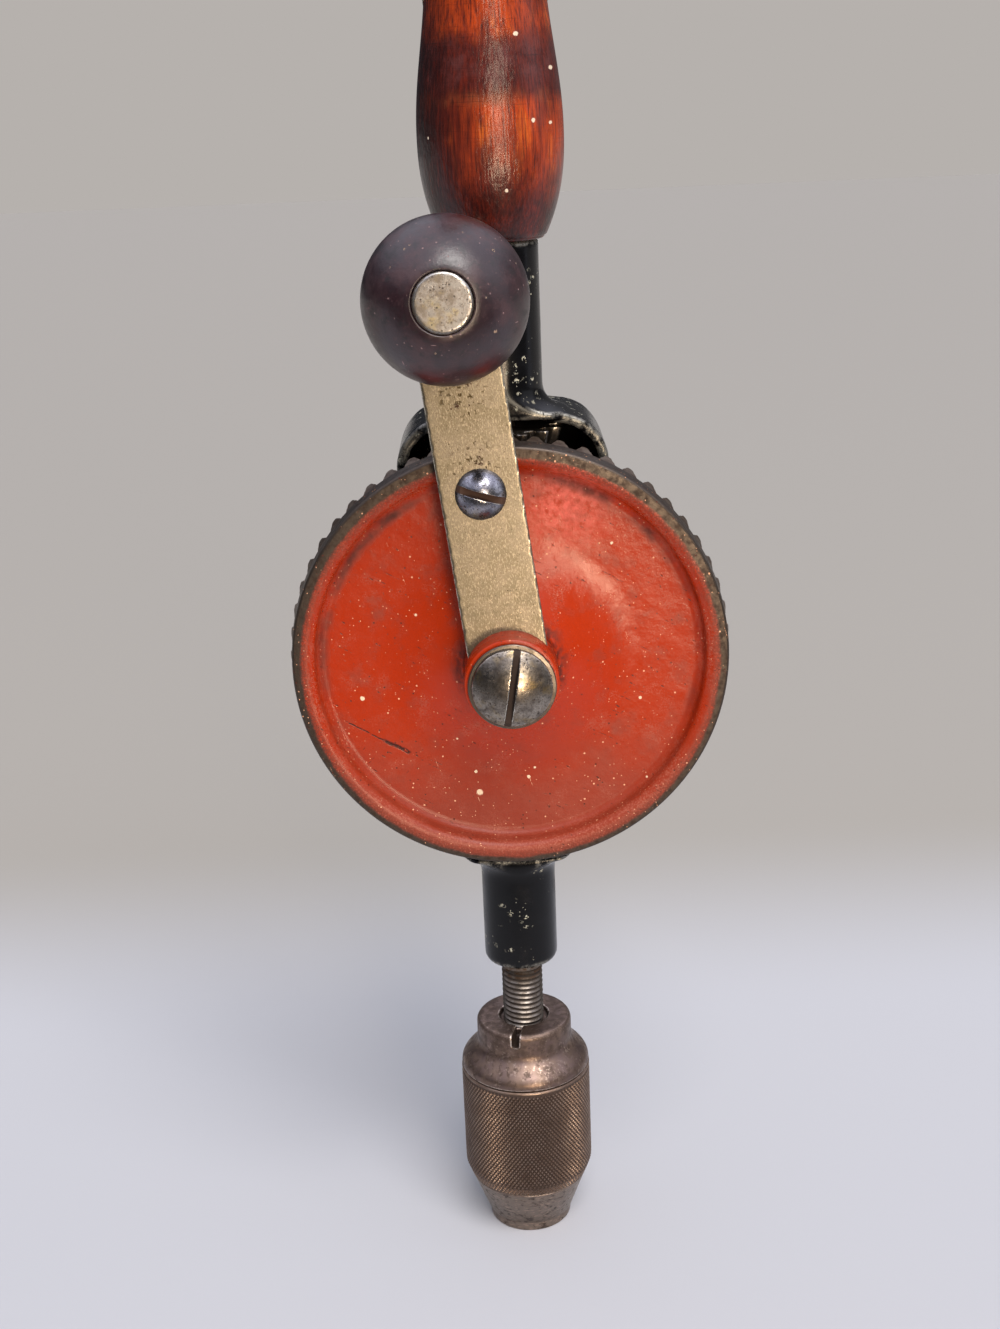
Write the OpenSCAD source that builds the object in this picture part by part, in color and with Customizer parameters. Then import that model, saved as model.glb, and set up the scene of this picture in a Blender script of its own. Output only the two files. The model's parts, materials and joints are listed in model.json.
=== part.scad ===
// Eggbeater hand drill with a bevel gear train, side crank and three-jaw chuck.
// Millimetres, +Z toward the handle, the gear on the -Y side. The origin lies on the
// spindle axis at the mouth of the chuck.

/* [Drive gear] */
// Radius of the front edge of the gear rim
rim_r = 46; // [45:0.5:47]
// Distance of the rim front from the spindle axis
rim_front = 18; // [17:0.25:19]
// Radius of the collar that carries the crank
hub_r = 9.7; // [9:0.1:10.5]
// Distance of the collar front from the spindle axis
hub_front = 32.6; // [31:0.2:34]
// Length of the bevel teeth along the cone
tooth_len = 7.4; // [6:0.2:8]
// Diameter of the axle screw
axle_d = 9.5; // [8:0.25:10]
// Diameter of the axle screw head
axle_head_d = 16.4; // [15:0.2:17]

/* [Crank] */
// Crank radius, gear axis to knob stud
crank_r = 76.9; // [70:1:84]
// Width of the crank arm
arm_w = 16.6; // [15:0.2:17]
// Thickness of the crank arm
arm_t = 3; // [2.5:0.1:3.5]
// Lean of the arm toward the gear
arm_tilt = 5; // [4:0.25:5.5]
// Radius at which the arm screw sits
arm_screw_r = 38; // [34:0.5:39]
// Diameter of the arm screw head
arm_screw_head_d = 10.4; // [9:0.2:12]
// Diameter of the turned knob
knob_d = 31.75; // [28:0.25:36]
// Diameter of the knob stud head
stud_head_d = 11; // [9:0.25:13]

/* [Frame] */
// Width of the hood over the upper pinion
hood_w = 44.6; // [40:0.2:48]
// Wall of the hood
hood_wall = 2.2; // [1.8:0.1:3]
// Diameter of the shank under the handle
shank_d = 18; // [15:0.5:19]
// Length of shank between hood and handle
shank_len = 33.5; // [28:0.5:42]
// Diameter of the lower bearing barrel
barrel_d = 16.9; // [16:0.1:19]
// Length of the lower bearing barrel
barrel_len = 26.6; // [20:0.5:34]

/* [Handle] */
// Length of the handle
handle_len = 112; // [100:1:125]
// Diameter of the handle at its lower end
handle_end_d = 20.8; // [20:0.2:23]
// Diameter of the lower swell
handle_d = 29.6; // [27:0.2:33]
// Diameter of the waist
waist_d = 23.4; // [21:0.2:26]
// Diameter of the upper swell
top_swell_d = 31; // [28:0.2:34]

/* [Spindle and chuck] */
// Diameter of the spindle thread
spindle_d = 9.525; // [8.5:0.25:10]
// Length of bare spindle between chuck and barrel
spindle_show = 15.5; // [12:0.5:20]
// Diameter of the knurled shell
shell_d = 30.4; // [29:0.2:33]
// Length of the chuck shell
shell_len = 41.5; // [40:0.5:46]
// Diameter of the chuck nose
nose_d = 19.4; // [19:0.1:21]
// Diameter of the chuck neck
neck_d = 22.2; // [20:0.2:24]
// Height of neck and shoulder above the shell
shoulder_h = 12.2; // [11:0.2:15]
// Shank diameter that the open jaws take
jaw_open = 6.4; // [5:0.1:6.6]

/* [Hidden] */
$fn = 96;
eps = 0.01;

// Clearances: turning shafts, slip fits inside one assembly, free gaps.
run = 0.05;
slip = 0.02;
gap = 0.3;

// Tooth numbers and cones, gear over pinion.
gear_teeth = 56;
pinion_teeth = 14;
ratio = gear_teeth / pinion_teeth;
gear_cone = atan(ratio);
pinion_cone = 90 - gear_cone;

// Tooth form across the cone: height above and below the pitch line.
pitch_over = 0.65;
pitch_r = rim_r + pitch_over;
pitch = 360 / gear_teeth;
pitch_w = pitch_r * PI / gear_teeth;
addendum = 1.4;
dedendum = 1.85;
flank = tan(21);
backlash = 0.42;
space_ease = 0.25;
space_w = pitch_w + space_ease;
tooth_w = space_w - backlash;
tooth_tip_w = 1.0;
tooth_root_w = 1.8;
tooth_sink = 0.8;
tip_ease = 0.1;
flank_ease = 0.03;
belly_low = 0.7;
belly_high = 0.1;
cone_len = pitch_r / cos(pinion_cone);
tooth_in_r = (cone_len - tooth_len) * cos(pinion_cone);
tip_rise = addendum / cos(pinion_cone);
root_drop = dedendum / cos(pinion_cone);
space_over_in = 1.5;
space_over_out = 2.5;
tooth_over_in = 3;
tooth_over_out = 4;
mesh_phase = 1.3;

// Pinions, measured from the gear axis along the spindle.
pinion_over = 0.5;
pinion_end = pitch_r + pinion_over;
pinion_hub_r = 7;
pinion_hub_len = 8.3;
pinion_hub_end = tooth_in_r - pinion_hub_len;
pinion_tip_r = pinion_end / ratio + tip_rise;
pinion_pin_d = 2.4;
pinion_pin_in = 3;
pinion_pin_at = pinion_hub_end + pinion_pin_in;

// Gear dish, measured as radius and distance in front of the spindle axis.
rim_band = 2.6;
rim_depth = 4.4;
dish_front = rim_front - rim_depth;
dish_land = 0.3;
dish_back = tooth_in_r / ratio + root_drop + dish_land;
rim_width = 6.8;
dish_r = rim_r - rim_width;
foot_w = 1.8;
bell_r = hub_r + foot_w;
bell_rise = 1;
bell_front = rim_front + bell_rise;
web_t = 2.8;
flat_r = 28;
foot_h = 1.6;
foot_mid = [0.5, 0.7];
hub_edge = 0.4;
hub_step = 0.7;
rim_fillet = 2.2;
rim_edge = 0.5;
rim_flare = 0.35;
gear_hub_back = 8.6;

// Crank arm seat in the collar.
crank_rest = 7.2;
arm_front = 27;
arm_in = 2.2;
sleeve_wall = 1.7;
sleeve_r = axle_d / 2 + sleeve_wall;
arm_slot_gap = 0.1;
arm_screw_d = 5.8;
arm_boss_r = 6.2;
arm_screw_head_h = 3.328;
arm_screw_slot_turn = -24;
arm_screw_slot_w = 1.4;
arm_screw_slot_depth = 1.9;
arm_screw_end = 2;
boss_bore_end = 1.5;
stud_d = 8;
rivet_d = 6.4;
stud_head_t = 1.5;
stud_edge = 0.4;
stud_edge_in = 0.5;
rivet_head_t = 1.4;
rivet_flare = 1.6;
rivet_taper = 0.8;
knob_back = 1;
knob_seat = knob_d / 2 - knob_back;
knob_land = 0.9;
knob_front = gap + knob_seat + sqrt(pow(knob_d / 2, 2) - pow(stud_head_d / 2 + knob_land, 2));
head_recess = 1.8;

// Axle screw and washer.
washer_over = 0.8;
washer_r = axle_head_d / 2 + washer_over;
washer_t = 0.8;
head_edge = 0.9;
head_dome = 2.6;
axle_slot_turn = 87;
axle_slot_in = 1.2;
axle_slot_w = 1.6;
axle_slot_depth = 2;

// Hood, with its front open toward the gear.
pan_front = -7.2;
pan_room = 0.6;
pan_back = pinion_tip_r + pan_room + hood_wall;
pan_round = 6;
crown_room = 2.65;
crown = pinion_end + crown_room + hood_wall;
crown_slope = 8;
corner_r = 11;
side_low = 18;
yoke_room = 0.7;
yoke_w = 2 * (pinion_tip_r + yoke_room + hood_wall);
yoke_taper_low = -30;
yoke_floor = 2.6;
yoke_drop = 1.6;
yoke_low = pinion_end + yoke_drop;
yoke_round = 6;
pocket_round = 1.5;
yoke_front = -4;
bridge_room = 2.4;
bridge_end = pinion_hub_end - bridge_room;
waist_half = 11;
waist_back = 9.5;
boss_r = 9;
boss_front = -(gear_hub_back - gap);
boss_stand = 1;
boss_back = waist_back + boss_stand;
frame_fillet = 5;
fillet_front = 0.2;
fillet_back = 2.8;
shank_root = 2.6;
shank_sink = 1.2;
barrel_root = 0.8;
barrel_sink = 1;
waist_side_in = 4;
waist_back_in = 3;
barrel_round = 1.5;
tang_d = 12;
tang_len = 58;
tang_play = 0.5;

// Spindle, bottom to top.
journal_over = 0.2;
journal_d = spindle_d + journal_over;
top_journal_d = 8;
spindle_in_bridge = 9;
spindle_top = bridge_end - spindle_in_bridge;
ball_d = 6.35;
ball_play = 0.03;
washer_in_r = journal_d / 2 + gap;
spindle_washer_r = 9.4;
thread_end = 2;

// Idler pin.
idler_pin_d = 6;
idler_pin_in = 10;
idler_pin_up = 8;

// Chuck, measured upward from the mouth.
shell_wall = 2.6;
bore_r = shell_d / 2 - shell_wall;
nose_wall = 2.7;
nose_in_r = nose_d / 2 - nose_wall;
jaw_cone = 18.5;
cone_top = (bore_r - nose_in_r) / tan(jaw_cone);
lip_h = 2.5;
cone_h = 16;
jaw_travel = 4.9;
jaw_w = 6.4;
jaw_gap = 0.45;
jaw_over = 0.3;
jaw_top = cone_top + jaw_over;
nut_play = 0.2;
nut_low = jaw_top + nut_play;
nut_h = 7.8;
nut_drop = jaw_travel * cos(jaw_cone);
tail_r = 7.5;
tail_flat = 6;
tail_play = 0.5;
tail_low = jaw_top + tail_play;
spigot_play = 1.6;
spigot_low = nut_low + nut_h + spigot_play;
shoulder_low = shell_len + gap;
neck_top = shoulder_low + shoulder_h;
flare_h = 7;
neck_low = shoulder_low + flare_h;
neck_edge = 0.8;
shoulder_band = 0.8;
ring_up = 3;
ring_at = spigot_low + ring_up;
ring_t = 1.2;
ring_bite = 1;
ring_in_r = bore_r - ring_bite;
ring_stand = 0.7;
ring_out_r = bore_r + ring_stand;
shank_play = 0.4;
shank_bore_r = jaw_open / 2 + shank_play;
spindle_in = 13;
notch_w = 1.7;
notch_d = 3;
notch_turn = -12;
notch_root = 2.2;
body_in = 0.15;
neck_recess = 1.2;
neck_recess_w = 1;
ring_play = 0.05;
ring_split = 3;
nose_edge = 0.4;
lip_step = 0.4;
lip_bevel = 0.3;
shell_edge = 0.5;
nut_ease = 0.5;
nut_side = 0.2;
nut_shoulder = 0.8;
jaw_flank = 59;

// Heights of the assembly.
barrel_low = neck_top + spindle_show;
axis_z = barrel_low + barrel_len + yoke_low + yoke_floor;
handle_low = axis_z + crown + shank_len;
swell_at = 20.5;
waist_at = 54;
top_dome = 16;
top_swell_at = handle_len - top_dome;
handle_pin_d = 3.2;
handle_pin_up = 46;
handle_pin_at = handle_low + handle_pin_up;

// Points on an arc, for outlines.
function arc(cx, cy, r, a0, a1, n = 8) =
    [for (i = [0:n]) [cx + r * cos(a0 + (a1 - a0) * i / n), cy + r * sin(a0 + (a1 - a0) * i / n)]];

// Gear frame: X right, Y up, Z toward the crank.
module at_gear() {
    translate([0, 0, axis_z]) rotate([90, 0, 0]) children();
}

// Arm frame: Y along the arm, Z out of its front face.
module at_arm() {
    at_gear() rotate([0, 0, crank_rest]) translate([0, 0, arm_front])
        rotate([-arm_tilt, 0, 0]) children();
}

// Bolt slot across a screw head.
module slot(len, w, depth, top) {
    translate([-len / 2, -w / 2, top - depth]) cube([len, w, depth + 1]);
}

// Outline of the hood and yoke seen from the front, taken in by the wall.
module pan_outline(inset, rb) {
    half = hood_w / 2 - inset;
    low_half = yoke_w / 2 - inset;
    r = corner_r - inset;
    cx = hood_w / 2 - corner_r;
    cy = crown - corner_r - cx * tan(crown_slope);
    bottom = -(inset > 0 ? yoke_low : yoke_low + yoke_floor);
    tx = cx + r * sin(crown_slope);
    ty = cy + r * cos(crown_slope);
    for (s = [-1, 1]) {
        translate([s * cx, cy]) circle(r);
        translate([s * (low_half - rb), bottom + rb]) circle(rb);
    }
    polygon([[0, ty + tx * tan(crown_slope)], [tx, ty], [cx, cy], [half, cy], [half, side_low],
             [low_half, yoke_taper_low], [low_half, bottom + rb], [low_half - rb, bottom],
             [rb - low_half, bottom], [-low_half, bottom + rb], [-low_half, yoke_taper_low],
             [-half, side_low], [-half, cy], [-cx, cy], [-tx, ty]]);
}

// Section with its two back corners rounded: half width by depth.
module back_rounded(half, front, back, r) {
    translate([-half, front]) square([2 * half, back - r - front]);
    translate([-half + r, front]) square([2 * (half - r), back - front]);
    for (s = [-1, 1]) translate([s * (half - r), back - r]) circle(r);
}

// Hood and yoke as a solid block, rounded toward the back and at the yoke corners.
module pan_block(inset, front, r, rb) {
    back = pan_back - inset;
    high = crown - inset;
    low = inset > 0 ? yoke_low : yoke_low + yoke_floor;
    intersection() {
        rotate([90, 0, 0]) translate([0, 0, -back]) linear_extrude(back - front)
            pan_outline(inset, rb);
        translate([0, 0, -low]) linear_extrude(low + high)
            back_rounded(hood_w / 2 - inset, front, back, r);
        translate([-hood_w / 2, 0, (high - low) / 2]) rotate([90, 0, 90]) linear_extrude(hood_w)
            rotate(90) mirror([0, 1]) back_rounded((high + low) / 2, front, back, r);
    }
}

// Shank with its fillet into the crown.
module shank() {
    r = shank_d / 2;
    foot = crown - shank_root;
    rotate_extrude() polygon(concat(
        [[0, foot], [r + frame_fillet, foot], [r + frame_fillet, crown - shank_sink]],
        arc(r + frame_fillet, crown + frame_fillet - shank_sink, frame_fillet, 270, 180),
        [[r, crown + shank_len], [0, crown + shank_len]]));
}

// Lower bearing barrel with its fillet into the yoke.
module barrel() {
    r = barrel_d / 2;
    top = -(yoke_low + barrel_root);
    low = -(yoke_low + yoke_floor + barrel_len);
    fillet_low = -(yoke_low + yoke_floor) + barrel_sink;
    rotate_extrude() polygon(concat(
        [[0, low], [r - barrel_round, low]],
        arc(r - barrel_round, low + barrel_round, barrel_round, 270, 360),
        arc(r + frame_fillet, fillet_low - frame_fillet, frame_fillet, 180, 90),
        [[r + frame_fillet, top], [0, top]]));
}

// Radius of the arc that leaves a chord end at half_len and dips by depth in the middle.
function dip_r(depth, half_len) = (pow(depth, 2) + pow(half_len, 2)) / (2 * depth);

// Scallops that draw in the sides and back of the casting between the two pinion pockets.
module waist_cuts() {
    side_r = dip_r(hood_w / 2 - waist_half, bridge_end - waist_side_in);
    back_r = dip_r(pan_back - waist_back, bridge_end - waist_back_in);
    for (s = [-1, 1])
        translate([s * (waist_half + side_r), 0, 0]) rotate([90, 0, 0])
            cylinder(r = side_r, h = 4 * pan_back, center = true, $fn = 180);
    translate([0, waist_back + back_r, 0]) rotate([0, 90, 0])
        cylinder(r = back_r, h = 2 * hood_w, center = true, $fn = 180);
}

// Pockets for the two pinions, open toward the gear.
module pockets() {
    intersection() {
        pan_block(hood_wall, pan_front - 1, pocket_round, pocket_round);
        for (low = [bridge_end, -bridge_end - 2 * crown])
            translate([-hood_w, -4 * pan_back, low]) cube([2 * hood_w, 8 * pan_back, 2 * crown]);
    }
    translate([-hood_w, pan_front - 1, -bridge_end - 2 * crown])
        cube([2 * hood_w, yoke_front - pan_front + 1, 2 * crown]);
}

// One casting: hood, yoke, bridge with axle boss, barrel, shank and tang.
module frame() {
    color("#1b1c1d") translate([0, 0, axis_z]) difference() {
        union() {
            difference() {
                pan_block(0, pan_front, pan_round, yoke_round);
                pockets();
                waist_cuts();
            }
            rotate([90, 0, 0]) translate([0, 0, -boss_back])
                cylinder(r = boss_r, h = boss_back - boss_front);
            intersection() {
                union() {
                    shank();
                    barrel();
                }
                translate([-hood_w, -shank_d / 2 - fillet_front, -axis_z])
                    cube([2 * hood_w, shank_d + fillet_front + fillet_back,
                          axis_z + crown + shank_len + 1]);
            }
            translate([0, 0, crown + shank_len - 1]) cylinder(d = tang_d, h = tang_len + 1);
        }
        translate([0, 0, -axis_z]) cylinder(d = journal_d + 2 * run, h = axis_z - yoke_low + 1);
        translate([0, 0, -bridge_end - 1])
            cylinder(d = top_journal_d + 2 * run,
                     h = bridge_end + 1 - spindle_top + ball_d + 2 * ball_play);
        translate([0, 0, bridge_end - idler_pin_in])
            cylinder(d = idler_pin_d + slip, h = crown + idler_pin_up - bridge_end + idler_pin_in);
        rotate([90, 0, 0]) translate([0, 0, -boss_back - 1])
            cylinder(d = axle_d + slip, h = boss_back + 2 - boss_front);
        translate([0, 0, handle_pin_at - axis_z]) rotate([0, 90, 0])
            cylinder(d = handle_pin_d + slip, h = 2 * tang_d, center = true);
    }
}

// Half section of the handle: lower swell, waist, upper swell and domed end.
function swell(u, a, b) = a + (b - a) * (1 - cos(180 * u)) / 2;
function handle_points() = concat(
    [for (i = [0:9]) let (u = i / 9)
        [handle_end_d / 2 + (handle_d - handle_end_d) / 2 * (1 - pow(1 - u, 2.4)), swell_at * u]],
    [for (i = [1:12]) let (u = i / 12)
        [swell(u, handle_d, waist_d) / 2, swell_at + (waist_at - swell_at) * u]],
    [for (i = [1:14]) let (u = i / 14)
        [swell(u, waist_d, top_swell_d) / 2, waist_at + (top_swell_at - waist_at) * u]],
    [for (i = [1:10]) let (a = 9 * i)
        [top_swell_d / 2 * cos(a), top_swell_at + (handle_len - top_swell_at) * sin(a)]]);

module handle() {
    color("#5a2015") translate([0, 0, handle_low]) difference() {
        rotate_extrude() polygon(concat([[0, 0]], handle_points()));
        translate([0, 0, -1]) cylinder(d = tang_d + slip, h = tang_len + 1 + tang_play);
        translate([0, 0, handle_pin_at - handle_low]) rotate([0, 90, 0])
            cylinder(d = handle_pin_d + slip, h = 2 * handle_d, center = true);
    }
}

// Pin through handle and tang, filed flush with the wood.
module handle_pin() {
    color("#8a8880") translate([0, 0, handle_pin_at]) rotate([0, 90, 0])
        cylinder(d = handle_pin_d, h = waist_d, center = true);
}

// Slotted dome-head screw that carries the gear.
module axle_screw() {
    under = hub_front + gap + washer_t;
    dome_r = (pow(axle_head_d / 2, 2) + pow(head_dome, 2)) / (2 * head_dome);
    color("#6d6860") at_gear() difference() {
        union() {
            translate([0, 0, -boss_back]) cylinder(d = axle_d, h = boss_back + under + eps);
            translate([0, 0, under]) cylinder(d = axle_head_d, h = head_edge);
            intersection() {
                translate([0, 0, under + head_edge - eps]) cylinder(d = axle_head_d, h = head_dome + 1);
                translate([0, 0, under + head_edge + head_dome - dome_r]) sphere(dome_r);
            }
        }
        rotate([0, 0, axle_slot_turn]) slot(axle_head_d - axle_slot_in, axle_slot_w, axle_slot_depth,
                                            under + head_edge + head_dome);
    }
}

// Washer between the screw head and the collar.
module axle_washer() {
    color("#77746c") at_gear() translate([0, 0, hub_front + gap]) difference() {
        cylinder(r = washer_r, h = washer_t);
        translate([0, 0, -1]) cylinder(d = axle_d + slip, h = washer_t + 2);
    }
}

// Fixed pin of the upper pinion, from the bridge up into the shank.
module idler_pin() {
    low = bridge_end - idler_pin_in;
    high = crown + idler_pin_up - gap;
    color("#85827a") translate([0, 0, axis_z + low]) cylinder(d = idler_pin_d, h = high - low);
}

// Steel ball that takes the drilling thrust above the spindle.
module thrust_ball() {
    color("#b7b7b4") translate([0, 0, axis_z - spindle_top + ball_d / 2 + ball_play]) sphere(d = ball_d);
}

// Thrust washer between the lower pinion and the yoke floor.
module spindle_washer() {
    color("#8c8676") translate([0, 0, axis_z - yoke_low]) difference() {
        cylinder(r = spindle_washer_r, h = yoke_low - pinion_end - gap);
        translate([0, 0, -1]) cylinder(r = washer_in_r, h = yoke_low);
    }
}

// Half section of the gear: collar, bell-shaped dish, rolled rim and tooth ring.
module gear_section() {
    bore = axle_d / 2 + run;
    outer_tip = pitch_r + tip_rise * tan(pinion_cone);
    polygon(concat(
        [[bore, gear_hub_back], [bore, hub_front], [hub_r - hub_edge, hub_front],
         [hub_r, hub_front - hub_edge], [hub_r, bell_front + foot_h],
         [hub_r + foot_mid[0], bell_front + foot_mid[1]], [bell_r, bell_front]],
        [for (i = [1:7]) let (u = i / 8, r = bell_r + (flat_r - bell_r) * u)
            [r, bell_front + (dish_front - bell_front) * (1 - pow(1 - u, 2))]],
        [[flat_r, dish_front], [dish_r, dish_front]],
        arc(dish_r, dish_front + rim_fillet, rim_fillet, 270, 340, 5),
        arc(rim_r - rim_band, rim_front - rim_fillet, rim_fillet, 160, 90, 5),
        [[rim_r - rim_edge, rim_front], [rim_r, rim_front - rim_edge],
         [rim_r + rim_flare, pitch_r / ratio + root_drop], [outer_tip, pitch_r / ratio - tip_rise],
         [tooth_in_r, tooth_in_r / ratio - tip_rise], [tooth_in_r, dish_back], [flat_r, dish_back]],
        [for (i = [1:7]) let (u = i / 7, r = flat_r + (bell_r - flat_r) * u)
            [r, dish_back + (bell_front - web_t - dish_back) * pow(u, 2)]],
        [[hub_r - hub_step, bell_front - web_t], [hub_r - hub_step, gear_hub_back]]));
}

// Outline of one space between gear teeth, across the cone.
module space_outline() {
    tip = space_w / 2 + addendum * flank;
    root = space_w / 2 - dedendum * flank;
    over = 1.2;
    flare = 0.2;
    polygon([[-root, -dedendum], [root, -dedendum], [tip, addendum], [tip + flare, addendum + over],
             [-tip - flare, addendum + over], [-tip, addendum]]);
}

module drive_gear() {
    screw_at = arm_screw_r / cos(arm_tilt);
    boss_len = arm_front - arm_screw_r * tan(arm_tilt) - arm_t - (dish_front + dish_back) / 2;
    color("#c8401f") difference() {
        union() {
            at_gear() difference() {
                rotate_extrude() gear_section();
                for (i = [0:gear_teeth - 1])
                    rotate([0, 0, i * pitch + mesh_phase]) rotate([-gear_cone, 0, 0])
                        translate([0, 0, cone_len - tooth_len - space_over_in])
                            linear_extrude(space_over_in + tooth_len + space_over_out) space_outline();
            }
            at_arm() translate([0, screw_at, -arm_t - boss_len]) cylinder(r = arm_boss_r, h = boss_len);
        }
        difference() {
            at_arm() translate([-arm_w / 2 - arm_slot_gap, arm_in - arm_slot_gap, -arm_t - arm_slot_gap])
                cube([arm_w + 2 * arm_slot_gap, hub_r + 2, arm_t + 2 * arm_slot_gap]);
            at_gear() cylinder(r = sleeve_r, h = hub_front);
        }
        at_arm() translate([0, screw_at, -arm_t - boss_len + boss_bore_end])
            cylinder(d = arm_screw_d + slip, h = boss_len + arm_t);
    }
}

// Flat crank arm, forked around the collar sleeve.
module crank_arm() {
    stud_at = crank_r / cos(arm_tilt);
    color("#a89a78") at_arm() difference() {
        translate([0, 0, -arm_t]) linear_extrude(arm_t) difference() {
            union() {
                translate([-arm_w / 2, arm_in]) square([arm_w, stud_at - arm_in]);
                translate([0, stud_at]) circle(d = arm_w);
            }
            circle(r = sleeve_r + arm_t * tan(arm_tilt) + arm_slot_gap);
            translate([0, arm_screw_r / cos(arm_tilt)]) circle(d = arm_screw_d + slip);
            translate([0, stud_at]) circle(d = rivet_d + slip);
        }
    }
}

// Round-head screw that fastens the arm to the gear.
module arm_screw() {
    boss_len = arm_front - arm_screw_r * tan(arm_tilt) - arm_t - (dish_front + dish_back) / 2;
    head_h = arm_screw_head_h;
    dome_r = (pow(arm_screw_head_d / 2, 2) + pow(head_h, 2)) / (2 * head_h);
    color("#4c4a48") at_arm() translate([0, arm_screw_r / cos(arm_tilt), 0]) difference() {
        union() {
            translate([0, 0, -arm_t - boss_len + arm_screw_end])
                cylinder(d = arm_screw_d, h = arm_t + boss_len - arm_screw_end + eps);
            intersection() {
                cylinder(d = arm_screw_head_d, h = head_h + 1);
                translate([0, 0, head_h - dome_r]) sphere(dome_r);
            }
        }
        rotate([0, 0, arm_screw_slot_turn])
            slot(arm_screw_head_d + 2, arm_screw_slot_w, arm_screw_slot_depth, head_h);
    }
}

// Headed stud riveted through the arm, the axle of the knob.
module knob_stud() {
    head_at = knob_front + gap - head_recess;
    color("#b5ab90") at_arm() translate([0, crank_r / cos(arm_tilt), 0]) {
        cylinder(d = stud_d, h = head_at + eps);
        translate([0, 0, head_at]) cylinder(d = stud_head_d, h = stud_head_t - stud_edge);
        translate([0, 0, head_at + stud_head_t - stud_edge - eps])
            cylinder(d1 = stud_head_d, d2 = stud_head_d - 2 * stud_edge_in, h = stud_edge + eps);
        translate([0, 0, -arm_t - eps]) cylinder(d = rivet_d, h = arm_t + 2 * eps);
        translate([0, 0, -arm_t - rivet_head_t])
            cylinder(d1 = rivet_d + 2 * rivet_taper, d2 = rivet_d + 2 * rivet_flare, h = rivet_head_t);
    }
}

// Turned ball knob, free to spin on the stud.
module crank_knob() {
    color("#3a211f") at_arm() translate([0, crank_r / cos(arm_tilt), 0]) difference() {
        intersection() {
            translate([0, 0, gap + knob_seat]) sphere(d = knob_d);
            translate([0, 0, gap]) cylinder(d = knob_d + 2, h = knob_front - gap);
        }
        translate([0, 0, -1]) cylinder(d = stud_d + 2 * run, h = knob_d + 2);
        translate([0, 0, knob_front - head_recess]) cylinder(d = stud_head_d + 2 * gap, h = 2 * head_recess);
    }
}

// Outline of one pinion tooth, across the cone.
module tooth_outline() {
    low = -dedendum - tooth_sink;
    high = addendum - tip_ease;
    half = tooth_w / 2 - flank_ease;
    polygon([[-tooth_root_w / 2, low], [tooth_root_w / 2, low], [half, -belly_low], [half, belly_high],
             [tooth_tip_w / 2, high], [-tooth_tip_w / 2, high], [-half, belly_high], [-half, -belly_low]]);
}

// Bevel pinion on +Z with the cone apex at the origin, bored for its shaft.
module pinion(bore) {
    difference() {
        union() {
            rotate_extrude() polygon([[0, pinion_hub_end], [pinion_hub_r, pinion_hub_end],
                [pinion_hub_r, tooth_in_r], [tooth_in_r / ratio - root_drop, tooth_in_r],
                [pinion_end / ratio - root_drop, pinion_end], [0, pinion_end]]);
            intersection() {
                for (i = [0:pinion_teeth - 1])
                    rotate([0, 0, i * 360 / pinion_teeth]) rotate([-pinion_cone, 0, 0])
                        translate([0, 0, cone_len - tooth_len - tooth_over_in])
                            linear_extrude(tooth_over_in + tooth_len + tooth_over_out) tooth_outline();
                translate([0, 0, tooth_in_r]) cylinder(r = 2 * pinion_tip_r, h = pinion_end - tooth_in_r);
            }
        }
        translate([0, 0, pinion_hub_end - 1]) cylinder(r = bore, h = pinion_end);
    }
}

// Upper pinion, an idler that steadies the gear.
module idler_pinion() {
    color("#7b756c") translate([0, 0, axis_z]) rotate([0, 0, 180 - ratio * mesh_phase])
        pinion(idler_pin_d / 2 + run);
}

// Lower pinion, pinned to the spindle.
module drive_pinion() {
    color("#7b756c") translate([0, 0, axis_z]) difference() {
        rotate([0, 0, ratio * mesh_phase]) rotate([180, 0, 0]) pinion(journal_d / 2 + slip / 2);
        translate([0, 0, -pinion_pin_at]) rotate([0, 90, 0])
            cylinder(d = pinion_pin_d + slip, h = 4 * pinion_hub_r, center = true);
    }
}

// Pin through the hub of the lower pinion.
module pinion_pin() {
    color("#9a978f") translate([0, 0, axis_z - pinion_pin_at]) rotate([0, 90, 0])
        cylinder(d = pinion_pin_d, h = 2 * pinion_hub_r, center = true);
}

// Spindle: threaded nose, lower journal, pinion seat and top journal.
module spindle() {
    nose = neck_top - spindle_in;
    color("#a3a19b") difference() {
        union() {
            translate([0, 0, nose]) cylinder(d = spindle_d, h = barrel_low - thread_end - nose);
            translate([0, 0, barrel_low - thread_end])
                cylinder(d = journal_d, h = axis_z - pinion_hub_end - barrel_low + thread_end);
            translate([0, 0, axis_z - pinion_hub_end - eps])
                cylinder(d = top_journal_d, h = pinion_hub_end - spindle_top + eps);
        }
        translate([0, 0, axis_z - pinion_pin_at]) rotate([0, 90, 0])
            cylinder(d = pinion_pin_d + slip, h = 2 * spindle_d, center = true);
    }
}

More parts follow.
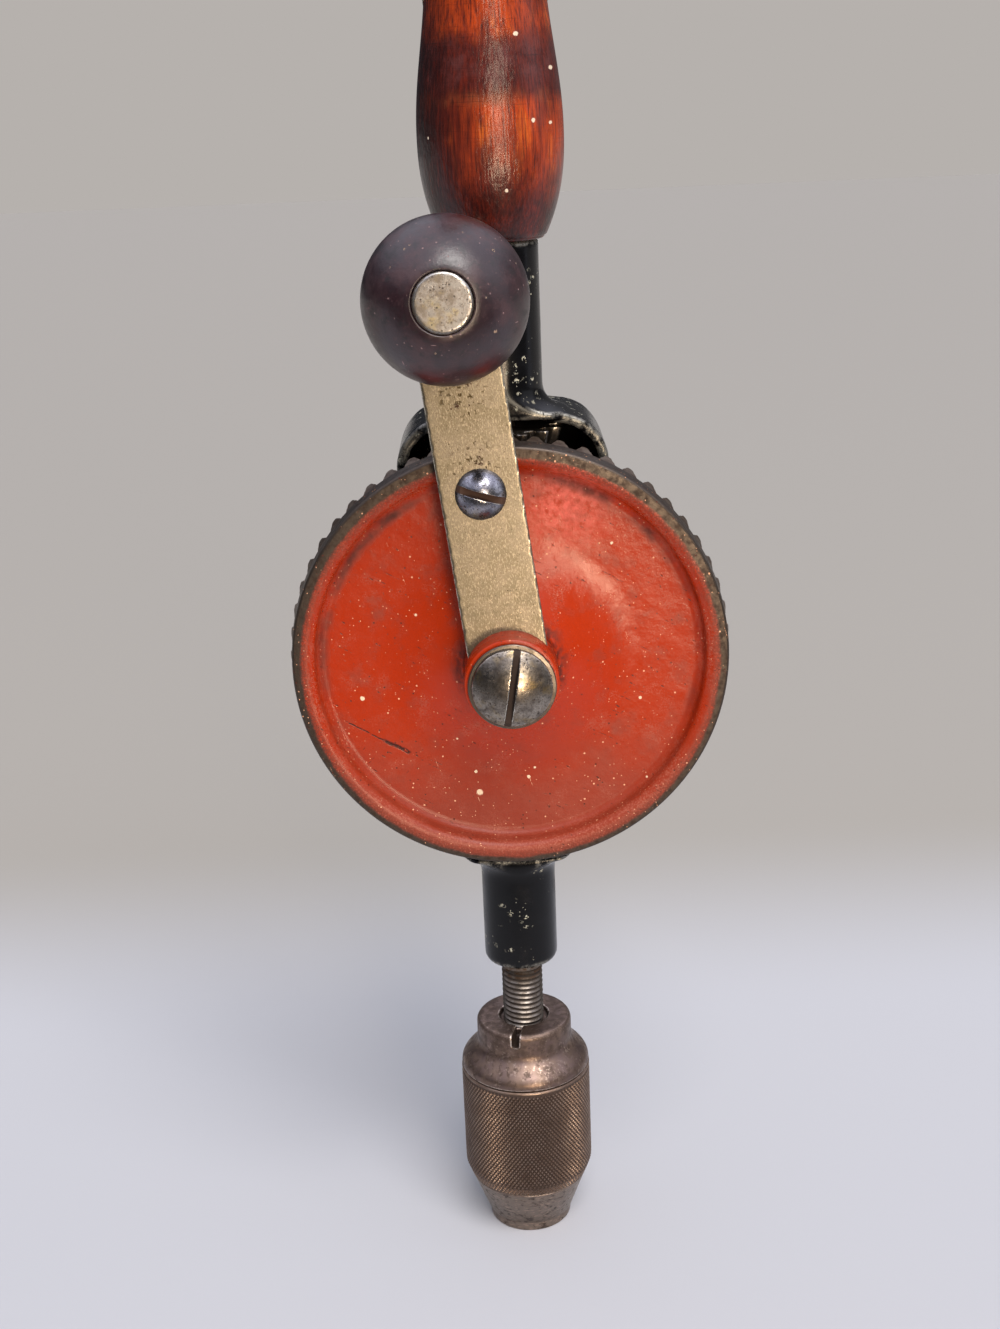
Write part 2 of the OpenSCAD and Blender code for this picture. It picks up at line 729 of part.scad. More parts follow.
// Chuck body: neck, domed shoulder, bearing spigot and keyed tail.
module chuck_body() {
    r = shell_d / 2 - body_in;
    neck_r = neck_d / 2;
    band_top = shoulder_low + shoulder_band;
    color("#6b5a4a") difference() {
        union() {
            rotate_extrude() polygon(concat(
                [[0, spigot_low], [bore_r - run, spigot_low], [bore_r - run, shoulder_low],
                 [r, shoulder_low], [r, band_top]],
                [for (i = [1:12]) let (u = i / 12)
                    [swell(u, r, neck_r), band_top + (neck_low - band_top) * u]],
                [[neck_r, neck_top - neck_edge], [neck_r - neck_edge, neck_top], [0, neck_top]]));
            translate([0, 0, tail_low]) linear_extrude(spigot_low - tail_low + eps) intersection() {
                circle(tail_r);
                square([2 * tail_flat, 4 * tail_r], center = true);
            }
        }
        translate([0, 0, neck_top - spindle_in]) cylinder(d = spindle_d + slip, h = spindle_in + 1);
        translate([0, 0, neck_top - neck_recess])
            cylinder(d = spindle_d + 2 * neck_recess_w, h = neck_recess + 1);
        translate([0, 0, tail_low - 1])
            cylinder(r = shank_bore_r, h = neck_top - spindle_in - tail_low + 2);
        translate([0, 0, ring_at - ring_play]) difference() {
            cylinder(r = bore_r + 1, h = ring_t + 2 * ring_play);
            translate([0, 0, -1]) cylinder(r = ring_in_r - slip, h = ring_t + 3);
        }
        rotate([0, 0, notch_turn]) translate([-notch_w / 2, -neck_d, neck_top - notch_d])
            cube([notch_w, neck_d - spindle_d / 2 - notch_root, notch_d + 1]);
    }
}

// Snap ring that keeps the shell on the body.
module shell_ring() {
    color("#8e8c86") translate([0, 0, ring_at]) difference() {
        cylinder(r = ring_out_r, h = ring_t);
        translate([0, 0, -1]) cylinder(r = ring_in_r, h = ring_t + 2);
        translate([0, -ring_split / 2, -1]) cube([2 * bore_r, ring_split, ring_t + 2]);
    }
}

// Knurled shell with a conical nose.
module chuck_shell() {
    nose_r = nose_d / 2;
    color("#5d5046") difference() {
        rotate_extrude() polygon([
            [nose_in_r, 0], [nose_r - nose_edge, 0], [nose_r, nose_edge],
            [nose_r, lip_h - lip_bevel], [nose_r + lip_step, lip_h], [shell_d / 2, cone_h],
            [shell_d / 2, shell_len - shell_edge], [shell_d / 2 - shell_edge, shell_len],
            [bore_r, shell_len], [bore_r, cone_top]]);
        translate([0, 0, ring_at - gap]) cylinder(r = ring_out_r + gap, h = ring_t + 2 * gap);
    }
}

// Thrust nut that the shell drives down onto the jaws.
module jaw_nut() {
    nut_r = bore_r - run;
    low_r = nut_r - (nut_drop + nut_ease) * tan(jaw_cone) - nut_side;
    color("#77716a") translate([0, 0, nut_low]) difference() {
        rotate_extrude() polygon([[0, 0], [low_r, 0], [nut_r, nut_drop + nut_shoulder],
                                  [nut_r, nut_h], [0, nut_h]]);
        translate([0, 0, -1]) linear_extrude(nut_h + 2) intersection() {
            circle(tail_r + run);
            square([2 * tail_flat + 4 * run, 4 * tail_r], center = true);
        }
    }
}

// One jaw, its back parallel to the cone inside the shell.
module chuck_jaw(turn) {
    inward = jaw_travel * sin(jaw_cone);
    back_low = nose_in_r - jaw_gap / cos(jaw_cone);
    back_high = back_low + cone_top * tan(jaw_cone);
    reach = 3 * shell_d;
    side = [reach * cos(jaw_flank), reach * sin(jaw_flank)];
    color("#908c84") rotate([0, 0, turn]) difference() {
        intersection() {
            rotate_extrude() polygon([[0, 0], [back_low, 0], [back_high, cone_top],
                                      [back_high, jaw_top], [0, jaw_top]]);
            translate([0, -jaw_w / 2, -1]) cube([shell_d, jaw_w, jaw_top + 2]);
            translate([inward + gap, 0, -1]) linear_extrude(jaw_top + 2)
                polygon([[0, 0], [side[0], -side[1]], side]);
        }
        translate([0, 0, -1]) cylinder(d = jaw_open, h = jaw_top + 2);
    }
}

module chuck_jaw_1() { chuck_jaw(90); }
module chuck_jaw_2() { chuck_jaw(210); }
module chuck_jaw_3() { chuck_jaw(330); }

frame();
handle();
handle_pin();
axle_screw();
axle_washer();
idler_pin();
thrust_ball();
spindle_washer();
drive_gear();
crank_arm();
arm_screw();
knob_stud();
crank_knob();
idler_pinion();
spindle();
drive_pinion();
pinion_pin();
chuck_body();
shell_ring();
chuck_shell();
jaw_nut();
chuck_jaw_1();
chuck_jaw_2();
chuck_jaw_3();
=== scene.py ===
"""Eggbeater hand drill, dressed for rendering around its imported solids.

Lengths are metres in the part's own frame: the origin lies on the spindle axis at the mouth of the
chuck, +Z runs up to the handle and the gear stands on the -Y side.
"""

import json
import logging
import math
from abc import ABC, abstractmethod
from dataclasses import dataclass
from enum import Enum
from typing import Any, Callable, Mapping

import bmesh
import bpy
import numpy as np
from mathutils import Matrix, Vector

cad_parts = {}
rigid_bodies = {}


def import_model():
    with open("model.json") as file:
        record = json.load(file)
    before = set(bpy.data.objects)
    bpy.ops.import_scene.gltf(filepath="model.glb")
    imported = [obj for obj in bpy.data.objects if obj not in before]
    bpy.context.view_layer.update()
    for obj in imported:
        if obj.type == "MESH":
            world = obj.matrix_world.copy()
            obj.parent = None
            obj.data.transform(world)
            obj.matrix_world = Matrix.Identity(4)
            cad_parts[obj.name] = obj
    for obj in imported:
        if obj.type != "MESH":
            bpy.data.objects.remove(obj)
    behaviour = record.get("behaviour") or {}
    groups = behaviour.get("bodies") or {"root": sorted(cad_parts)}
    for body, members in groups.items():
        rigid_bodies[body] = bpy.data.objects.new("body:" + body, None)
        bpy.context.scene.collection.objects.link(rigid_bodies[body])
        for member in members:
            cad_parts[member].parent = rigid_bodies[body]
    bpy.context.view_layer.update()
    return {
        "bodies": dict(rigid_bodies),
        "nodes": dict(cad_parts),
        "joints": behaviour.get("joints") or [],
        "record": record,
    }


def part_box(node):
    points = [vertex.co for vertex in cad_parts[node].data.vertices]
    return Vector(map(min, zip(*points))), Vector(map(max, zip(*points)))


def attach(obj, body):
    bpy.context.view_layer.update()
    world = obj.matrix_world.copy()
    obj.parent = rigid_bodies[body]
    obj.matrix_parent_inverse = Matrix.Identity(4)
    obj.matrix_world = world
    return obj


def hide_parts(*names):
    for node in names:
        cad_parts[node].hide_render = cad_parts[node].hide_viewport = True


Socket = bpy.types.NodeSocket
Mesh = bpy.types.Mesh
Pair = tuple[float, float]
Triple = tuple[float, float, float]
Outline = list[Pair]

MM = 0.001
ORIGIN: Triple = (0.0, 0.0, 0.0)
RIGHT: Triple = (1.0, 0.0, 0.0)
LEFT: Triple = (-1.0, 0.0, 0.0)
FRONT: Triple = (0.0, -1.0, 0.0)
BACK: Triple = (0.0, 1.0, 0.0)
UP: Triple = (0.0, 0.0, 1.0)
DOWN: Triple = (0.0, 0.0, -1.0)
SUM = "ShaderNodeMath"
LOG = logging.getLogger("hand_drill")


class Wear(Enum):
    """Vertex attributes that say where a piece rubs and where dirt stays."""

    EDGE = "worn_edge"
    CREVICE = "crevice"


class Keep(Enum):
    """Which axes count in a distance from a line."""

    FROM_SPINDLE = (1.0, 1.0, 0.0)
    FROM_AXLE = (1.0, 0.0, 1.0)


def add(tree: bpy.types.NodeTree, kind: str, inputs: Mapping[str, Any] | tuple[Any, ...] = (),
        out: str | int = 0, **settings: Any) -> Socket | None:
    """Add one node with its settings, values and links.

    Args:
        tree: Node tree that takes the node.
        kind: Blender's name for the node.
        inputs: Values, or sockets to link, by the input's name or all in their order.
        out: Name or place of the output that is wanted, among those in use.
        settings: Properties of the node itself.

    Returns:
        The wanted output, or None for a node that ends the tree.
    """
    node = tree.nodes.new(kind)
    for name, value in settings.items():
        setattr(node, name, value)
    for key, value in inputs.items() if isinstance(inputs, Mapping) else enumerate(inputs):
        by_place = isinstance(key, int)
        socket = node.inputs[key] if by_place else next(
            s for s in node.inputs if s.enabled and s.name == key)
        for given in value if isinstance(value, list) else [value]:
            if isinstance(given, Socket):
                tree.links.new(given, socket)
            else:
                socket.default_value = given
    shown = [s for s in node.outputs if s.enabled]
    if isinstance(out, str):
        return next(s for s in shown if s.name == out)
    return shown[out] if shown else None


def put(name: str, data: bpy.types.ID) -> bpy.types.Object:
    """Make an object of a mesh, a light or a camera and link it to the scene.

    Args:
        name: Name of the object.
        data: What the object shows.

    Returns:
        The new object.
    """
    thing = bpy.data.objects.new(name, data)
    bpy.context.scene.collection.objects.link(thing)
    return thing


def linear(code: str) -> tuple[float, float, float, float]:
    """Turn an sRGB hex colour into linear RGBA.

    Args:
        code: Colour as "#rrggbb".

    Returns:
        Linear red, green and blue with full alpha.
    """
    parts = [int(code[i:i + 2], 16) / 255 for i in (1, 3, 5)]
    bent = [p / 12.92 if p <= 0.04045 else ((p + 0.055) / 1.055) ** 2.4 for p in parts]
    return bent[0], bent[1], bent[2], 1.0


@dataclass(frozen=True)
class Layer:
    """One skin of a finish: colour, metal share, roughness, and how far it stands up in metres."""

    colour: str
    metallic: float = 0.0
    roughness: float = 0.5
    raised: float = 0.0


class Surface:
    """A material in the making: layers laid one over another by masks."""

    def __init__(self, name: str, ground: Layer) -> None:
        """Start a material from its lowest layer.

        Args:
            name: Name of the real material.
            ground: Layer that shows where no mask covers it.
        """
        self.material = bpy.data.materials.new(name)
        self.material.use_nodes = True
        self.tree = self.material.node_tree
        self.tree.nodes.clear()
        self.place = add(self.tree, "ShaderNodeTexCoord", out="Object")
        self.colour: Any = linear(ground.colour)
        self.metallic: Any = ground.metallic
        self.roughness: Any = ground.roughness
        self.height: Any = 0.0

    def _noise(self, size: float, stretch: Triple = (1, 1, 1), turn: Triple = ORIGIN,
               centre: Triple = ORIGIN, detail: float = 4.0) -> Socket:
        """Return even noise about 0.5.

        Args:
            size: Size of its lumps in metres.
            stretch: Stretch along its own axes.
            turn: Turn of the pattern.
            centre: Point that it is turned about.
            detail: How many finer layers it has.

        Returns:
            Noise from 0 to 1.
        """
        grid = add(self.tree, "ShaderNodeMapping", {
            "Vector": self.place, "Location": centre, "Rotation": turn,
            "Scale": tuple(size * s for s in stretch)}, vector_type="TEXTURE")
        return add(self.tree, "ShaderNodeTexNoise", {
            "Vector": grid, "Scale": 1.0, "Detail": detail, "Roughness": 0.55})

    def _wander(self, value: Any, size: float, amount: float, **pattern: Any) -> Socket:
        """Shift a value by an amount over noise of a size."""
        shift = add(self.tree, SUM, (self._noise(size, **pattern), 0.5), operation="SUBTRACT")
        return add(self.tree, SUM, (shift, 2 * amount, value), operation="MULTIPLY_ADD")

    def _edge(self, value: Socket, low: float, high: float, ragged: float = 0.0,
              grit: float = 2 * MM) -> Socket:
        """Turn a value into a mask with a soft edge.

        Args:
            value: Distance or level that the edge lies across.
            low: Value at which the mask is 0.
            high: Value at which it is 1; below low turns the mask round.
            ragged: How far the edge wanders, in metres.
            grit: Size of its bends in metres.

        Returns:
            Mask from 0 to 1.
        """
        if ragged:
            value = self._wander(value, grit, 2 * ragged)
        return add(self.tree, "ShaderNodeMapRange", {
            "Value": value, "From Min": low, "From Max": high}, interpolation_type="SMOOTHSTEP")

    def mottle(self, size: float, low: float = 0.45, high: float = 0.6, **pattern: Any) -> Socket:
        """Return a mask of irregular patches.

        Args:
            size: Size of a patch in metres.
            low: Noise level where a patch starts.
            high: Noise level where it is full; below low turns the mask round.
            pattern: Stretch, turn, centre and detail of the noise.

        Returns:
            Mask from 0 to 1.
        """
        return self._edge(self._noise(size, **pattern), low, high)

    def specks(self, spacing: float, size: float, share: float, stretch: Triple = (1, 1, 1),
               turn: Triple = ORIGIN) -> Socket:
        """Return a mask of scattered specks, or of scratches where it is stretched.

        Args:
            spacing: Mean distance between places for a speck, in metres.
            size: Diameter of the largest speck in metres.
            share: Share of the places that hold one.
            stretch: Stretch along the pattern's own axes.
            turn: Turn of the pattern.

        Returns:
            Mask from 0 to 1.
        """
        radius = size / spacing / 2
        grid = add(self.tree, "ShaderNodeMapping", {
            "Vector": self.place, "Rotation": turn, "Scale": tuple(spacing * s for s in stretch)},
            vector_type="TEXTURE")
        distance = add(self.tree, "ShaderNodeTexVoronoi", {"Vector": grid, "Scale": 1.0},
                       out="Distance")
        lot = add(self.tree, "ShaderNodeSeparateColor", {"Color": distance.node.outputs["Color"]})
        chosen = add(self.tree, SUM, (lot, 1 - share), operation="GREATER_THAN")
        speck = self._edge(distance, radius, 0.55 * radius)
        return add(self.tree, SUM, (speck, chosen), operation="MULTIPLY")

    def ring(self, centre: Triple, keep: Keep, *edge: float) -> Socket:
        """Return a mask that steps with the distance from a line.

        Args:
            centre: Point on the line.
            keep: Axes that count in the distance.
            edge: Low, high, ragged and grit of the edge, as distances.

        Returns:
            Mask from 0 to 1.
        """
        offset = add(self.tree, "ShaderNodeVectorMath", (self.place, centre), operation="SUBTRACT")
        flat = add(self.tree, "ShaderNodeVectorMath", (offset, keep.value), operation="MULTIPLY")
        distance = add(self.tree, "ShaderNodeVectorMath", (flat,), operation="LENGTH")
        return self._edge(distance, *edge)

    def along(self, direction: Triple, *edge: float) -> Socket:
        """Return a mask that steps along a direction.

        Args:
            direction: Direction to step along.
            edge: Low, high, ragged and grit of the edge, as distances from the origin.

        Returns:
            Mask from 0 to 1.
        """
        reach = add(self.tree, "ShaderNodeVectorMath", (self.place, direction), out="Value",
                    operation="DOT_PRODUCT")
        return self._edge(reach, *edge)

    def band(self, direction: Triple, start: float, full: float, fade: float, end: float,
             *ragged: float) -> tuple[Socket, Socket]:
        """Return the masks of a band: one rises from start to full, one falls from fade to end."""
        return self.along(direction, start, full, *ragged), self.along(direction, end, fade, *ragged)

    def worn(self, wear: Wear, low: float, high: float) -> Socket:
        """Return a mask from one of the piece's wear attributes."""
        level = add(self.tree, "ShaderNodeAttribute", out="Fac", attribute_name=wear.value)
        return self._edge(level, low, high)

    def lay(self, layer: Layer, *masks: Socket) -> None:
        """Lay a layer over the others where all the masks meet.

        Args:
            layer: Layer to lay.
            masks: Masks from 0 to 1.
        """
        mask = masks[0]
        for other in masks[1:]:
            mask = add(self.tree, SUM, (mask, other), operation="MULTIPLY")
        self.colour = add(self.tree, "ShaderNodeMix", {
            "Factor": mask, "A": self.colour, "B": linear(layer.colour)}, data_type="RGBA")
        for name in ("metallic", "roughness"):
            under, value = getattr(self, name), getattr(layer, name)
            if under != value:
                blend = add(self.tree, "ShaderNodeMix", {"Factor": mask, "A": under, "B": value})
                setattr(self, name, blend)
        if layer.raised:
            self.height = add(self.tree, SUM, (mask, layer.raised, self.height), operation="MULTIPLY_ADD")

    def roughen(self, size: float, depth: float, **pattern: Any) -> None:
        """Add bumps of a size and depth, both in metres, to the height."""
        bumps = self._noise(size, **pattern)
        self.height = add(self.tree, SUM, (bumps, depth, self.height), operation="MULTIPLY_ADD")

    def smear(self, size: float, amount: float, **pattern: Any) -> None:
        """Make the roughness wander by an amount over patches of a size."""
        self.roughness = self._wander(self.roughness, size, amount, **pattern)

    def finish(self, gloss: Mapping[str, float] | None = None) -> bpy.types.Material:
        """Join the layers to the shader and bend its normals by the height.

        Args:
            gloss: Shader values that hold all over the surface.

        Returns:
            The finished material.
        """
        inputs = {"Base Color": self.colour, "Metallic": self.metallic,
                  "Roughness": self.roughness, **(gloss or {})}
        if isinstance(self.height, Socket):
            inputs["Normal"] = add(self.tree, "ShaderNodeBump", {
                "Strength": 1.0, "Distance": 1.0, "Height": self.height})
            inputs["Coat Normal"] = inputs["Normal"]
        shader = add(self.tree, "ShaderNodeBsdfPrincipled", inputs)
        add(self.tree, "ShaderNodeOutputMaterial", {"Surface": shader})
        return self.material


@dataclass(frozen=True)
class Finish(ABC):
    """A real material with its wear. Each kind is painted once and shared by its pieces."""

    name: str = ""

    @abstractmethod
    def paint(self) -> bpy.types.Material:
        """Make the material's nodes."""

    def material(self) -> bpy.types.Material:
        """Return the material, painting it when it is first asked for."""
        return bpy.data.materials.get(self.name) or self.paint()


@dataclass(frozen=True)
class BlackEnamel(Finish):
    """Brushed black enamel on cast iron: deep and glossy, flecked, chipped pale, bare at rubbed edges."""

    name: str = "black_enamel_on_cast_iron"
    ground: Layer = Layer("#070709", 0.0, 0.18)
    dulled: Layer = Layer("#0c0c0f", 0.0, 0.28)
    fleck: Layer = Layer("#8e8d80", 0.0, 0.6, 0.01 * MM)
    chip: Layer = Layer("#b9b7a6", 0.1, 0.62, -0.04 * MM)
    iron: Layer = Layer("#7f7d77", 0.8, 0.4, -0.02 * MM)

    def paint(self) -> bpy.types.Material:
        """Lay dull patches, flecks, chip clusters and bare edges over the gloss.

        Returns:
            The finished material.
        """
        s = Surface(self.name, self.ground)
        s.lay(self.dulled, s.mottle(7 * MM, 0.5, 0.68))
        clusters = s.mottle(8 * MM, 0.5, 0.6)
        s.lay(self.fleck, s.specks(0.7 * MM, 0.32 * MM, 0.3), clusters)
        s.lay(self.chip, s.specks(1.9 * MM, 1.9 * MM, 0.4, (1, 1, 0.7)), clusters,
              s.mottle(0.55 * MM, 0.5, 0.55))
        s.lay(self.fleck, s.specks(2.4 * MM, 0.5 * MM, 0.24))
        s.lay(self.iron, s.worn(Wear.EDGE, 0.32, 0.76), s.mottle(2.6 * MM, 0.4, 0.58),
              s.mottle(0.5 * MM, 0.3, 0.5))
        s.roughen(5 * MM, 0.05 * MM)
        s.roughen(0.9 * MM, 0.01 * MM)
        s.smear(2.5 * MM, 0.08)
        return s.finish({"Specular IOR Level": 0.24})


@dataclass(frozen=True)
class RedEnamel(Finish):
    """Orange-red enamel on the dished gear: semi-gloss and wavy, dusty at the rim under a painted highlight,
    with a painted sheen near the top and painted shade round the collar and in the rim's upper corner,
    spattered, scratched.
    """

    name: str = "red_enamel_on_pressed_steel"
    axle: Triple = ORIGIN
    rim_inside: float = 43.9 * MM
    rim_shift: float = 0.6 * MM
    corner_in: Pair = (38 * MM, 39.8 * MM)
    corner_out: Pair = (42 * MM, 40 * MM)
    roll: Pair = (39 * MM, 42.5 * MM)
    collar: float = 9.7 * MM
    collar_level: Pair = (-30.5 * MM, -24 * MM)
    dish_level: float = 13.6 * MM
    dish_skin: Pair = (12.5 * MM, 13 * MM)
    scratch_skin: Pair = (12.9 * MM, 13.1 * MM)
    darker_below: Pair = (4 * MM, 40 * MM)
    ground: Layer = Layer("#a62c03", 0.0, 0.24)
    duller_red: Layer = Layer("#8c3522", 0.0, 0.36)
    dust_and_sheen: Layer = Layer("#a85c49", 0.0, 0.55)
    painted_sheen: Layer = Layer("#dd6152", 0.0, 0.36)
    painted_shade: Layer = Layer("#4d1a10", 0.0, 0.6)
    thin: Layer = Layer("#6e2c1c", 0.1, 0.5)
    scuff: Layer = Layer("#4e1f12", 0.0, 0.5, -0.02 * MM)
    dust: Layer = Layer("#e3a884", 0.0, 0.6)
    spatter: Layer = Layer("#ead0b0", 0.0, 0.5, 0.04 * MM)
    scratch: Layer = Layer("#431e17", 0.2, 0.5, -0.05 * MM)
    steel: Layer = Layer("#554c45", 0.9, 0.42, -0.03 * MM)
    brown: Layer = Layer("#3c2f27", 0.6, 0.55)
    sheen_at: Triple = (13 * MM, 0.0, 34 * MM)
    sheen_r: Pair = (14 * MM, 1 * MM)
    scratch_at: Triple = (-29.2 * MM, 0.0, -17.1 * MM)
    scratch_lean: float = math.radians(30)
    scratch_half: float = 8.2 * MM
    spatter_at: tuple[Triple, ...] = (
        (-7.8 * MM, -30.9 * MM, 0.8 * MM), (3.0 * MM, -27.7 * MM, 0.5 * MM),
        (-32.0 * MM, -8.2 * MM, 0.55 * MM), (-8.5 * MM, -26.0 * MM, 0.4 * MM),
        (27.5 * MM, -10.5 * MM, 0.45 * MM), (22.0 * MM, 24.0 * MM, 0.4 * MM))

    def paint(self) -> bpy.types.Material:
        """Lay a duller, darker lower part, duller patches, dust, a painted sheen, painted shade round the
        collar, spatter and scratches over the red, and bare steel past its edge.

        Returns:
            The finished material.
        """
        s = Surface(self.name, self.ground)
        axle = self.axle
        # Darker and duller towards the bottom of the dish.
        s.lay(self.duller_red, s.along(DOWN, *(h - axle[2] for h in self.darker_below), 6 * MM, 16 * MM))
        s.lay(self.duller_red, s.mottle(5 * MM, 0.48, 0.84))
        s.lay(self.dust_and_sheen, s.mottle(7 * MM, 0.5, 0.8), s.mottle(0.35 * MM, 0.4, 0.72))
        # Painted sheen: a pale pink patch up and right of the axle, near the top of the dish, stands for a
        # reflection.
        sheen_spot = tuple(Vector(axle) + Vector(self.sheen_at))
        s.lay(self.painted_sheen, s.ring(sheen_spot, Keep.FROM_AXLE, *self.sheen_r, 2 * MM, 5 * MM),
              s.mottle(1.5 * MM, 0.25, 0.75))
        self._rim(s)
        # Painted shade: a dark ring on the dish round the foot of the collar.
        s.lay(self.painted_shade, s.ring(axle, Keep.FROM_AXLE, self.collar + 3.5 * MM, self.collar, 0.7 * MM),
              s.along(BACK, *self.collar_level), s.mottle(1.2 * MM, 0.3, 0.66))
        marks = (
            (self.scuff, (3.0 * MM, 0.8 * MM, 0.35, (2.4, 1, 0.5), (0, 0.6, 0)), (0.6 * MM, 0.44, 0.56)),
            (self.scuff, (2.6 * MM, 0.4 * MM, 0.3, (0.5, 1, 3.2), (0, -0.35, 0)), (0.6 * MM, 0.44, 0.56)),
            (self.scuff, (1.5 * MM, 0.5 * MM, 0.3), (10 * MM, 0.3, 0.56)),
            (self.scuff, (1.8 * MM, 0.36 * MM, 0.5, (3.5, 1, 0.5), (0, 0.35, 0)), (7 * MM, 0.42, 0.6)),
            (self.dust, (0.8 * MM, 0.3 * MM, 0.28), (12 * MM, 0.36, 0.6)),
            (self.scuff, (2.0 * MM, 0.36 * MM, 0.4, (0.5, 1, 3), (0, 0.9, 0)), (9 * MM, 0.4, 0.62)),
            (self.scuff, (1.6 * MM, 0.5 * MM, 0.2, (9, 1, 0.4), (0, 0.5, 0)), (0.6 * MM, 0.42, 0.54)),
            (self.dust, (1.6 * MM, 0.46 * MM, 0.14, (0.4, 1, 8), (0, -0.3, 0)), (0.6 * MM, 0.46, 0.58)))
        for layer, specks, patches in marks:
            s.lay(layer, s.specks(*specks), s.mottle(*patches))
        s.lay(self.dust, s.specks(2.2 * MM, 0.5 * MM, 0.3))
        s.lay(self.spatter, s.specks(6 * MM, 0.8 * MM, 0.3))
        for x, z, radius in self.spatter_at:
            spot = (axle[0] + x, -self.dish_level, axle[2] + z)
            s.lay(self.spatter, s.ring(spot, Keep.FROM_AXLE, radius, 0.6 * radius, 0.15 * MM, 0.7 * MM),
                  s.along(FRONT, *self.dish_skin))
        self._long_scratch(s)
        s.roughen(9 * MM, 0.16 * MM, detail=1.0)
        s.roughen(2.4 * MM, 0.09 * MM)
        s.roughen(0.4 * MM, 0.018 * MM)
        s.smear(2 * MM, 0.09)
        return s.finish({"Specular IOR Level": 0.33})

    def _rim(self, s: Surface) -> None:
        """Paint shade into the corner between dish and rim, most at the top, dust the rolled rim under a
        painted highlight, and let the paint run out into bare steel.

        Args:
            s: Surface that takes the rim.
        """
        axle, edge = (0.0, 0.0, self.axle[2] - self.rim_shift), self.rim_inside
        # Painted shade: the corner between dish and rim is darkened, most towards the top, where the rim shades
        # it.
        s.lay(self.painted_shade, s.ring(axle, Keep.FROM_AXLE, *self.corner_in, 0.3 * MM, 4 * MM),
              s.ring(axle, Keep.FROM_AXLE, *self.corner_out, 0.3 * MM, 4 * MM),
              s.mottle(9 * MM, 0.34, 0.68), s.along(UP, axle[2] - 40 * MM, axle[2] + 20 * MM))
        # Chalky dust on the rolled rim, lighter there also as a painted highlight of the lit roll.
        s.lay(self.dust_and_sheen, s.ring(axle, Keep.FROM_AXLE, *self.roll, 0.5 * MM, 3 * MM),
              s.mottle(0.4 * MM, 0.42, 0.7), s.mottle(14 * MM, 0.3, 0.6))
        s.lay(self.thin, s.ring(axle, Keep.FROM_AXLE, edge - 2.2 * MM, edge + 0.2 * MM, 0.12 * MM, 2 * MM),
              s.mottle(0.35 * MM, 0.26, 0.58))
        bare = s.ring(axle, Keep.FROM_AXLE, edge - 0.1 * MM, edge + 0.7 * MM, 0.22 * MM, 5 * MM)
        s.lay(self.steel, bare)
        s.lay(self.brown, bare, s.mottle(1.4 * MM, 0.36, 0.72))
        s.lay(self.steel, s.worn(Wear.EDGE, 0.3, 0.7), bare)

    def _long_scratch(self, s: Surface) -> None:
        """Draw the one long dark scratch on the dish, ragged and thicker at its lower end.

        Args:
            s: Surface that takes the scratch.
        """
        lean = self.scratch_lean
        line = (math.cos(lean), 0.0, -math.sin(lean))
        across = (math.sin(lean), 0.0, math.cos(lean))
        middle = Vector(self.axle) + Vector(self.scratch_at)
        level = middle.dot(Vector(across))
        for half, width in ((self.scratch_half, 0.22 * MM), (0.45 * self.scratch_half, 0.55 * MM)):
            at = middle.dot(Vector(line)) + self.scratch_half - half
            s.lay(self.scratch,
                  *s.band(line, at - half, at - half + 1.5 * MM, at + half - 1 * MM, at + half),
                  *s.band(across, level - width, level - 0.4 * width, level + 0.4 * width, level + width,
                          0.28 * MM, 3 * MM),
                  s.mottle(0.8 * MM, 0.36, 0.5), s.along(FRONT, *self.scratch_skin))


@dataclass(frozen=True)
class GearSteel(Finish):
    """Bare machined steel of rim and teeth: grey, browned by handling, oily dirt in the roots."""

    name: str = "browned_gear_steel"
    axle: Triple = ORIGIN
    root_r: Pair = (46.1 * MM, 45.2 * MM)
    root_level: Pair = (14.2 * MM, 13.2 * MM)
    ground: Layer = Layer("#76685b", 0.9, 0.4)
    brown: Layer = Layer("#4a3a30", 0.7, 0.5)
    dirt: Layer = Layer("#241c18", 0.1, 0.7)
    bright: Layer = Layer("#b3a999", 1.0, 0.28)

    def paint(self) -> bpy.types.Material:
        """Lay brown patches, root dirt and rubbed edges over the steel.

        Returns:
            The finished material.
        """
        s = Surface(self.name, self.ground)
        s.lay(self.brown, s.mottle(1.6 * MM, 0.34, 0.7))
        s.lay(self.dirt, s.ring(self.axle, Keep.FROM_AXLE, *self.root_r, 0.4 * MM, 1 * MM),
              s.along(FRONT, *self.root_level), s.mottle(1.5 * MM, 0.3, 0.55))
        s.lay(self.bright, s.worn(Wear.EDGE, 0.35, 0.8), s.mottle(2.5 * MM, 0.4, 0.58))
        s.lay(self.bright, s.specks(0.7 * MM, 0.3 * MM, 0.2), s.mottle(4 * MM, 0.45, 0.6))
        s.lay(self.dirt, s.specks(0.9 * MM, 0.45 * MM, 0.25))
        # Tool marks are finer than this and are drawn as coarse as they need to show.
        s.roughen(0.3 * MM, 0.012 * MM)
        s.smear(2 * MM, 0.1)
        return s.finish()


